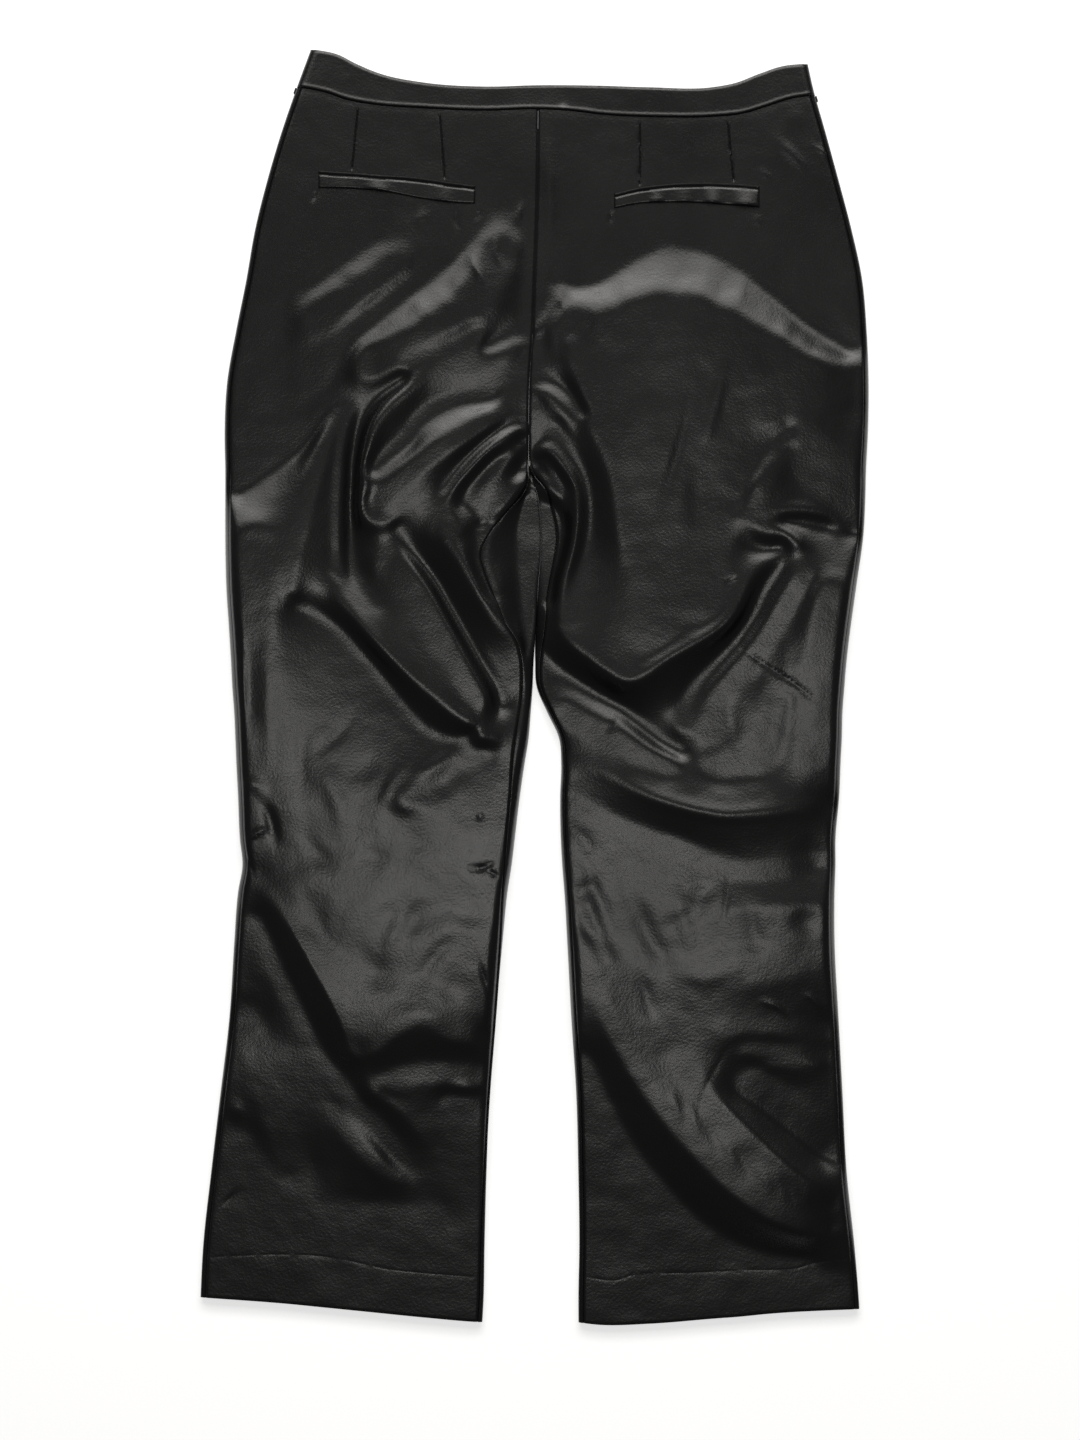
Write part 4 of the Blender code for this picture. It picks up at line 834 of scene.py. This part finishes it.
def refineAlong(bm, form, lines, reach, cuts):
    # splits the face's cells near sharp lines, before the slab is bent to its form
    u, v, depth = flatPlaces(bm)
    x, y, _ = form(u, v)
    x, y = np.ravel(x) / cm, np.ravel(y) / cm
    near = np.zeros(len(x), bool)
    for line in lines:
        index, gap, _ = awayFrom(line, x, y, reach)
        near[index[gap < reach]] = True
    near &= depth < 0.5
    bm.verts.ensure_lookup_table()
    bm.verts.index_update()
    edges = [edge for edge in bm.edges if near[edge.verts[0].index] and near[edge.verts[1].index]]
    bmesh.ops.subdivide_edges(bm, edges=edges, cuts=cuts, use_grid_fill=True)


def outward(form, u, v, sign, step=2e-4):
    du = np.array(form(u + step, v)) - np.array(form(u - step, v))
    dv = np.array(form(u, v + step)) - np.array(form(u, v - step))
    normal = np.cross(du, dv, axis=0) * sign
    return normal / np.maximum(np.linalg.norm(normal, axis=0), 1e-12)


def bendCloth(name, bm, form, sign, wall, material, sunk=0.0):
    u, v, depth = flatPlaces(bm)
    place = np.array(form(u, v)) - outward(form, u, v, sign) * (sunk + depth * wall)
    place[2] = np.maximum(place[2], 0)                  # nothing goes below what the trousers lie on
    for vert, point in zip(bm.verts, place.T):
        vert.co = point
    if sign < 0:
        bmesh.ops.reverse_faces(bm, faces=bm.faces)
    return finishedPiece(name, bm, material)


def finishedPiece(name, bm, material, sharp=60):
    mesh = bpy.data.meshes.new(name)
    bm.to_mesh(mesh)
    bm.free()
    mesh.shade_smooth()
    mesh.set_sharp_from_angle(angle=sharp * pi / 180)
    mesh.materials.append(material)
    piece = bpy.data.objects.new(name, mesh)
    pieceCollection.objects.link(piece)
    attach(piece, "root")
    return piece


def endRounding(distance, drop):
    # how far a panel's top sinks beside its seam or fold
    return drop * np.exp(-(distance / cloth["edgeReach"]) ** 2)


class Wire:
    # a shader socket that takes part in sums

    def __init__(self, tree, socket=None):
        self.tree = tree
        self.socket = socket

    def node(self, kind, settings=(), inputs=(), output=0):
        made = self.tree.nodes.new(kind)
        for name, value in dict(settings).items():
            setattr(made, name, value)
        for name, value in dict(inputs).items():
            if isinstance(value, Wire):
                self.tree.links.new(value.socket, made.inputs[name])
            else:
                made.inputs[name].default_value = value
        return Wire(self.tree, made.outputs[output])

    def maths(self, operation, first, second):
        return self.node("ShaderNodeMath", {"operation": operation}, {0: first, 1: second})

    def __add__(self, other):
        return self.maths("ADD", self, other)

    def __sub__(self, other):
        return self.maths("SUBTRACT", self, other)

    def __rsub__(self, other):
        return self.maths("SUBTRACT", other, self)

    def __mul__(self, other):
        return self.maths("MULTIPLY", self, other)

    __radd__ = __add__
    __rmul__ = __mul__


def newMaterial(name, constants, wiring):
    material = bpy.data.materials.new(name)
    material.use_nodes = True
    tree = material.node_tree
    shader = tree.nodes["Principled BSDF"]
    for socket, value in constants.items():
        shader.inputs[socket].default_value = value
    place = Wire(tree).node("ShaderNodeTexCoord", output="Object")
    for socket, wire in wiring(place).items():
        tree.links.new(wire.socket, shader.inputs[socket])
    return material


leather = {
    "dark": (0.0040, 0.0040, 0.0041, 1),
    "pale": (0.0065, 0.0064, 0.0062, 1),
    "roughness": 0.29,
    "roughnessChange": 0.10,
    "specular": 0.5,
    "patchScale": 14.0,
    "patchDetail": 3.0,
    "grainScale": 520.0,
    "grainDetail": 2.0,
    "grainDepth": 0.35 * mm,
    "grainStrength": 0.4,
    "wrinkleScale": 38.0,
    "wrinkleDetail": 1.5,
    "wrinkleRoughness": 0.45,
    "wrinkleDepth": 1.6 * mm,
    "wrinkleStrength": 0.5,
}


def noise(place, scale, detail, **more):
    inputs = {"Vector": place, "Scale": scale, "Detail": detail, **more}
    return place.node("ShaderNodeTexNoise", {}, inputs, "Fac")


def mixed(share, colours):
    # from the dark colour to the pale one
    inputs = {0: share, 6: colours["dark"], 7: colours["pale"]}
    return share.node("ShaderNodeMix", {"data_type": "RGBA"}, inputs, 2)


def leatherWiring(place):
    patches = noise(place, leather["patchScale"], leather["patchDetail"])
    colour = mixed(patches, leather)
    grain = noise(place, leather["grainScale"], leather["grainDetail"])
    wrinkle = noise(place, leather["wrinkleScale"], leather["wrinkleDetail"],
                    Roughness=leather["wrinkleRoughness"])
    large = place.node("ShaderNodeBump", {}, {"Height": wrinkle, "Strength": leather["wrinkleStrength"],
                                              "Distance": leather["wrinkleDepth"]})
    normal = place.node("ShaderNodeBump", {}, {"Height": grain, "Strength": leather["grainStrength"],
                                               "Distance": leather["grainDepth"], "Normal": large})
    roughness = (patches - 0.5) * leather["roughnessChange"] + leather["roughness"]
    return {"Base Color": colour, "Roughness": roughness, "Normal": normal}


inside = {
    "dark": (0.010, 0.010, 0.011, 1),
    "pale": (0.020, 0.020, 0.021, 1),
    "roughness": 0.85,
    "threads": 700.0,
    "fuzzDetail": 2.0,
    "distortion": 0.6,
    "alongShare": 0.6,
    "fuzzShare": 0.4,
    "strength": 0.4,
    "depth": 0.2 * mm,
}


def insideWiring(place):
    inputs = {"Vector": place, "Scale": inside["threads"] / 2, "Distortion": inside["distortion"]}
    settings = {"wave_type": "BANDS", "bands_direction": "DIAGONAL"}
    along = place.node("ShaderNodeTexWave", settings, inputs, "Fac")
    fuzz = noise(place, inside["threads"], inside["fuzzDetail"])
    weave = along * inside["alongShare"] + fuzz * inside["fuzzShare"]
    normal = place.node("ShaderNodeBump", {}, {"Height": weave, "Strength": inside["strength"],
                                               "Distance": inside["depth"]})
    return {"Base Color": mixed(weave, inside), "Normal": normal}


leatherConstants = {"Metallic": 0.0, "Specular IOR Level": leather["specular"]}
leatherFace = newMaterial("faux leather", leatherConstants, leatherWiring)
insideConstants = {"Metallic": 0.0, "Roughness": inside["roughness"]}
insideCloth = newMaterial("inside cloth", insideConstants, insideWiring)


print("folding the cloth")
folded = FoldedCloth()
legs = [Leg("left", folded), Leg("right", folded)]
lineOf = {row.name: drawnLine(row.line) for row in sewn}
refining = {
    # which creases get finer cells, in mm, and how near to a line they are split, in cm
    "crispWidth": 2.6,
    "creaseReach": 0.25,
    "sewnReach": 0.26,
    "sewnFineReach": 0.12,
}
crispCreases = [drawnLine(row.line) for row in creases if row.width < refining["crispWidth"]]


def declare(node):
    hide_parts(node)


backSteps = {
    "across": unevenSteps((0.012, 4), (0.988, 88), (1.0, 5)),
    "along": unevenSteps((0.004, 4), (0.985, 340), (1.0, 12)),
}
frontSteps = {
    "across": np.linspace(0, 1, sum(cloth["frontFaces"]) + 1),
    "along": unevenSteps((0.004, 3), (0.985, 300), (1.0, 10)),
}


def backPanel(leg):
    bm = slab(**backSteps)

    def form(u, v):
        x, y, z = leg.back(u, v)
        width = leg.seams(v)[2]
        z = z - endRounding(u * width, cloth["backEdge"]) - endRounding((1 - u) * width, cloth["backEdge"])
        return x, y, z - endRounding(y - endLine("hem", x), cloth["backHemEdge"])

    mine = [line for line in crispCreases if line[:, 0].mean() * leg.sign > 0]
    refineAlong(bm, form, mine, refining["creaseReach"], cuts=1)
    for name, line in lineOf.items():
        if leg.side.title() in name:
            refineAlong(bm, form, [line], refining["sewnReach"], cuts=2)
            refineAlong(bm, form, [line], refining["sewnFineReach"], cuts=1)
    piece = bendCloth(leg.side + "Back", bm, form, -leg.sign, cloth["wall"], leatherFace)
    declare("back_" + leg.side)
    return piece


def frontPanel(leg):
    def form(u, v):
        x, y, z = leg.front(u, v)
        width = leg.seams(v)[2]
        zone, t = zones(u, cloth["frontFaces"])
        edge = np.minimum(np.where(zone == 0, t, 1) * cloth["seamIn"],
                          np.where(zone == 4, 1 - t, 1) * cloth["innerEdge"])
        return x, y, z - endRounding(edge, cloth["frontEdge"]) * leg.rounded(y)

    bm = slab(**frontSteps)
    piece = bendCloth(leg.side + "Front", bm, form, leg.sign, cloth["wall"], leatherFace)
    declare("front_" + leg.side)


# Turned-up hem inside each leg's end
hem = {
    "depth": 36 * mm,
    "clear": 0.7 * mm,
    "faces": (60, 60, 6),
    "rows": 14,
    "start": 0.02,             # it begins this share of its depth above the leg's end
    "turnStart": 0.1,
}


def hemPiece(leg):
    length = hem["depth"] / (cloth["waistHeight"] - cloth["hemHeight"])

    def form(u, v):
        along = blend(hem["start"], 1.0, v) * length
        innerSeam, width = leg.seams(along)[1:3]
        zone, t = zones(u, hem["faces"])
        start = innerSeam - cloth["seamGap"] / width
        end = innerSeam + cloth["seamGap"] / width
        across = np.choose(zone, [
            start * (1 + np.cos(pi * blend(hem["turnStart"], 1.0, t))) / (1 + np.cos(hem["turnStart"] * pi)),
            (1 - np.cos(pi * t)) / 2,
            1 - (1 - end) * t * t,
        ])
        x, y = leg.plan(across, along)
        return x, y, np.where(zone == 1, leg.lower(x, y), leg.upper(x, y))

    bm = slab(np.linspace(0, 1, sum(hem["faces"]) + 1), np.linspace(0, 1, hem["rows"] + 1))
    piece = bendCloth(leg.side + "Hem", bm, form, leg.sign, cloth["wall"], leatherFace,
                      sunk=cloth["wall"] + hem["clear"])
    declare("hem_" + leg.side)


welt = {
    "lift": 0.15 * mm,
    "wall": 1.3 * mm,
    "edge": 1.6 * mm,          # width of its rounded edge
    "least": 0.4 * mm,
    "lip": 0.9 * mm,           # raised near the upper edge, with a groove below
    "lipPlace": 1.0 * mm,
    "lipWidth": 1.0 * mm,
    "groove": 0.7 * mm,
    "groovePlace": 3.2 * mm,
    "grooveWidth": 0.7 * mm,
    "puffEdge": 3 * mm,
    "steps": (150, 24),
}


def weltPiece(leg, panel):
    across, lower, upper = (np.array(values) * cm for values in zip(*welts[leg.side]))
    tree = BVHTree.FromPolygons([vert.co for vert in panel.data.vertices],
                                [face.vertices for face in panel.data.polygons])
    bm = slab(np.linspace(0, 1, welt["steps"][0] + 1), np.linspace(0, 1, welt["steps"][1] + 1))
    for vert in bm.verts:
        u, v, inner = vert.co
        x = blend(across[0], across[-1], u)
        low, high = through(across, lower, x), through(across, upper, x)
        y = blend(low, high, v)
        edge = min(y - low, high - y, x - across[0], across[-1] - x)
        crown = welt["wall"] * roundOver(edge / welt["edge"])
        lip = welt["lip"] * np.exp(-((high - y - welt["lipPlace"]) / welt["lipWidth"]) ** 2)
        groove = welt["groove"] * np.exp(-((high - y - welt["groovePlace"]) / welt["grooveWidth"]) ** 2)
        under = tree.ray_cast(Vector((x, y, 1.0)), Vector((0, 0, -1)))[0].z
        puff = sum(row.height * (1 - v) * np.exp(-((x - row.middle * cm) / (row.width * cm)) ** 2)
                   for row in weltPuffs[leg.side]) * mm * roundOver(edge / welt["puffEdge"])
        rise = 0.0 if inner > 0.5 else max(crown + puff + lip * min(1, edge / mm) - groove, welt["least"])
        vert.co = (x, y, under + welt["lift"] + rise)
    bmesh.ops.recalc_face_normals(bm, faces=bm.faces)
    piece = finishedPiece(leg.side + "Welt", bm, leatherFace)
    declare("welt_" + leg.side)


print("making the legs")
for leg in legs:
    panel = backPanel(leg)
    frontPanel(leg)
    hemPiece(leg)
    weltPiece(leg, panel)

print("making the waistband")
waistband = Waistband(legs, folded)
bandAlong = unevenSteps((0.22, 10), (0.85, 8), (1.0, 8))
backBand = bendCloth("backWaistband", slab(np.linspace(0, 1, band["columns"] + 1), bandAlong),
                     waistband.back, 1, band["wall"], leatherFace)
declare("waistband_back")
frontBand = bendCloth("frontWaistband", slab(np.linspace(0, 1, 2 * sum(band["frontFaces"]) + 1), bandAlong),
                      waistband.front, -1, band["wall"], leatherFace)
declare("waistband_front")


# Fly shield inside the front, its lower corner rounded
fly = {
    "size": (38 * mm, 158 * mm, 1.2 * mm),
    "middle": (-0.9 * cm, 36 * cm),
    "corner": 26 * mm,
    "cornerSteps": 12,
    "bevel": 0.35 * mm,
    "bevelSteps": 2,
}


def flyShield():
    bm = bmesh.new()
    bmesh.ops.create_cube(bm, size=1.0)
    bmesh.ops.scale(bm, vec=fly["size"], verts=bm.verts)
    corner = [edge for edge in bm.edges if all(vert.co.x < 0 and vert.co.y < 0 for vert in edge.verts)]
    bmesh.ops.bevel(bm, geom=corner, offset=fly["corner"], segments=fly["cornerSteps"], profile=0.5,
                    affect="EDGES", material=-1)
    rim = [edge for edge in bm.edges if abs(edge.verts[0].co.z - edge.verts[1].co.z) < 0.1 * mm]
    bmesh.ops.bevel(bm, geom=rim, offset=fly["bevel"], segments=fly["bevelSteps"], profile=0.5,
                    affect="EDGES", material=-1)
    height = cloth["wall"] + cloth["seamGap"] + fly["size"][2] / 2
    bmesh.ops.translate(bm, vec=(*fly["middle"], height), verts=bm.verts)
    piece = finishedPiece("flyShield", bm, insideCloth)
    declare("fly_shield")


flyShield()


studio = {
    "floorHeight": -0.3 * mm,
    "floorSize": 12.0,
    "floorColour": (0.9, 0.9, 0.9, 1),
    "floorGlow": 0.6,
    "floorRoughness": 0.9,
    "worldLight": 0.08,
    "keyPlace": (0.0, 1.9, 1.7),
    "keySize": (3.0, 1.4),
    "keyPower": 39.0,
    "corePlace": (0.0, 2.2, 1.4),
    "coreSize": (2.0, 0.5),
    "corePower": 16.0,
    "overPlace": (0.0, -0.18, 2.6),
    "overSize": (0.8, 0.12),
    "overPower": 6.2,
    "lightColour": (1.0, 0.985, 0.96),
    "cameraPlace": (0.0028, -0.026, 2.676),
    "lens": 85.0,
    "sensor": 36,
}


def floorPiece():
    bm = bmesh.new()
    bmesh.ops.create_grid(bm, x_segments=1, y_segments=1, size=studio["floorSize"] / 2)
    mesh = bpy.data.meshes.new("floor")
    bm.to_mesh(mesh)
    bm.free()
    floor = bpy.data.objects.new("floor", mesh)
    floor.location.z = studio["floorHeight"]
    bpy.context.scene.collection.objects.link(floor)
    constants = {"Roughness": studio["floorRoughness"], "Base Color": studio["floorColour"],
                 "Emission Strength": studio["floorGlow"], "Emission Color": (1, 1, 1, 1)}
    mesh.materials.append(newMaterial("floor", constants, lambda place: {}))


def areaLight(name, place, size, power):
    lamp = bpy.data.lights.new(name, "AREA")
    lamp.shape = "RECTANGLE"
    lamp.size, lamp.size_y = size
    lamp.energy = power
    lamp.color = studio["lightColour"]
    light = bpy.data.objects.new(name, lamp)
    light.location = place
    light.rotation_euler = (-Vector(place)).to_track_quat("-Z", "Y").to_euler()
    bpy.context.scene.collection.objects.link(light)


print("setting the floor, light and camera")
floorPiece()
for name in ("key", "over", "core"):
    areaLight(name, studio[name + "Place"], studio[name + "Size"], studio[name + "Power"])
world = bpy.data.worlds.new("world")
world.use_nodes = True
world.node_tree.nodes["Background"].inputs["Color"].default_value = (studio["worldLight"],) * 3 + (1,)
bpy.context.scene.world = world
bpy.context.scene.view_settings.view_transform = "Standard"

lens = bpy.data.cameras.new("camera")
lens.lens = studio["lens"]
lens.sensor_width = studio["sensor"]
camera = bpy.data.objects.new("camera", lens)
camera.location = studio["cameraPlace"]
bpy.context.scene.collection.objects.link(camera)
bpy.context.scene.camera = camera
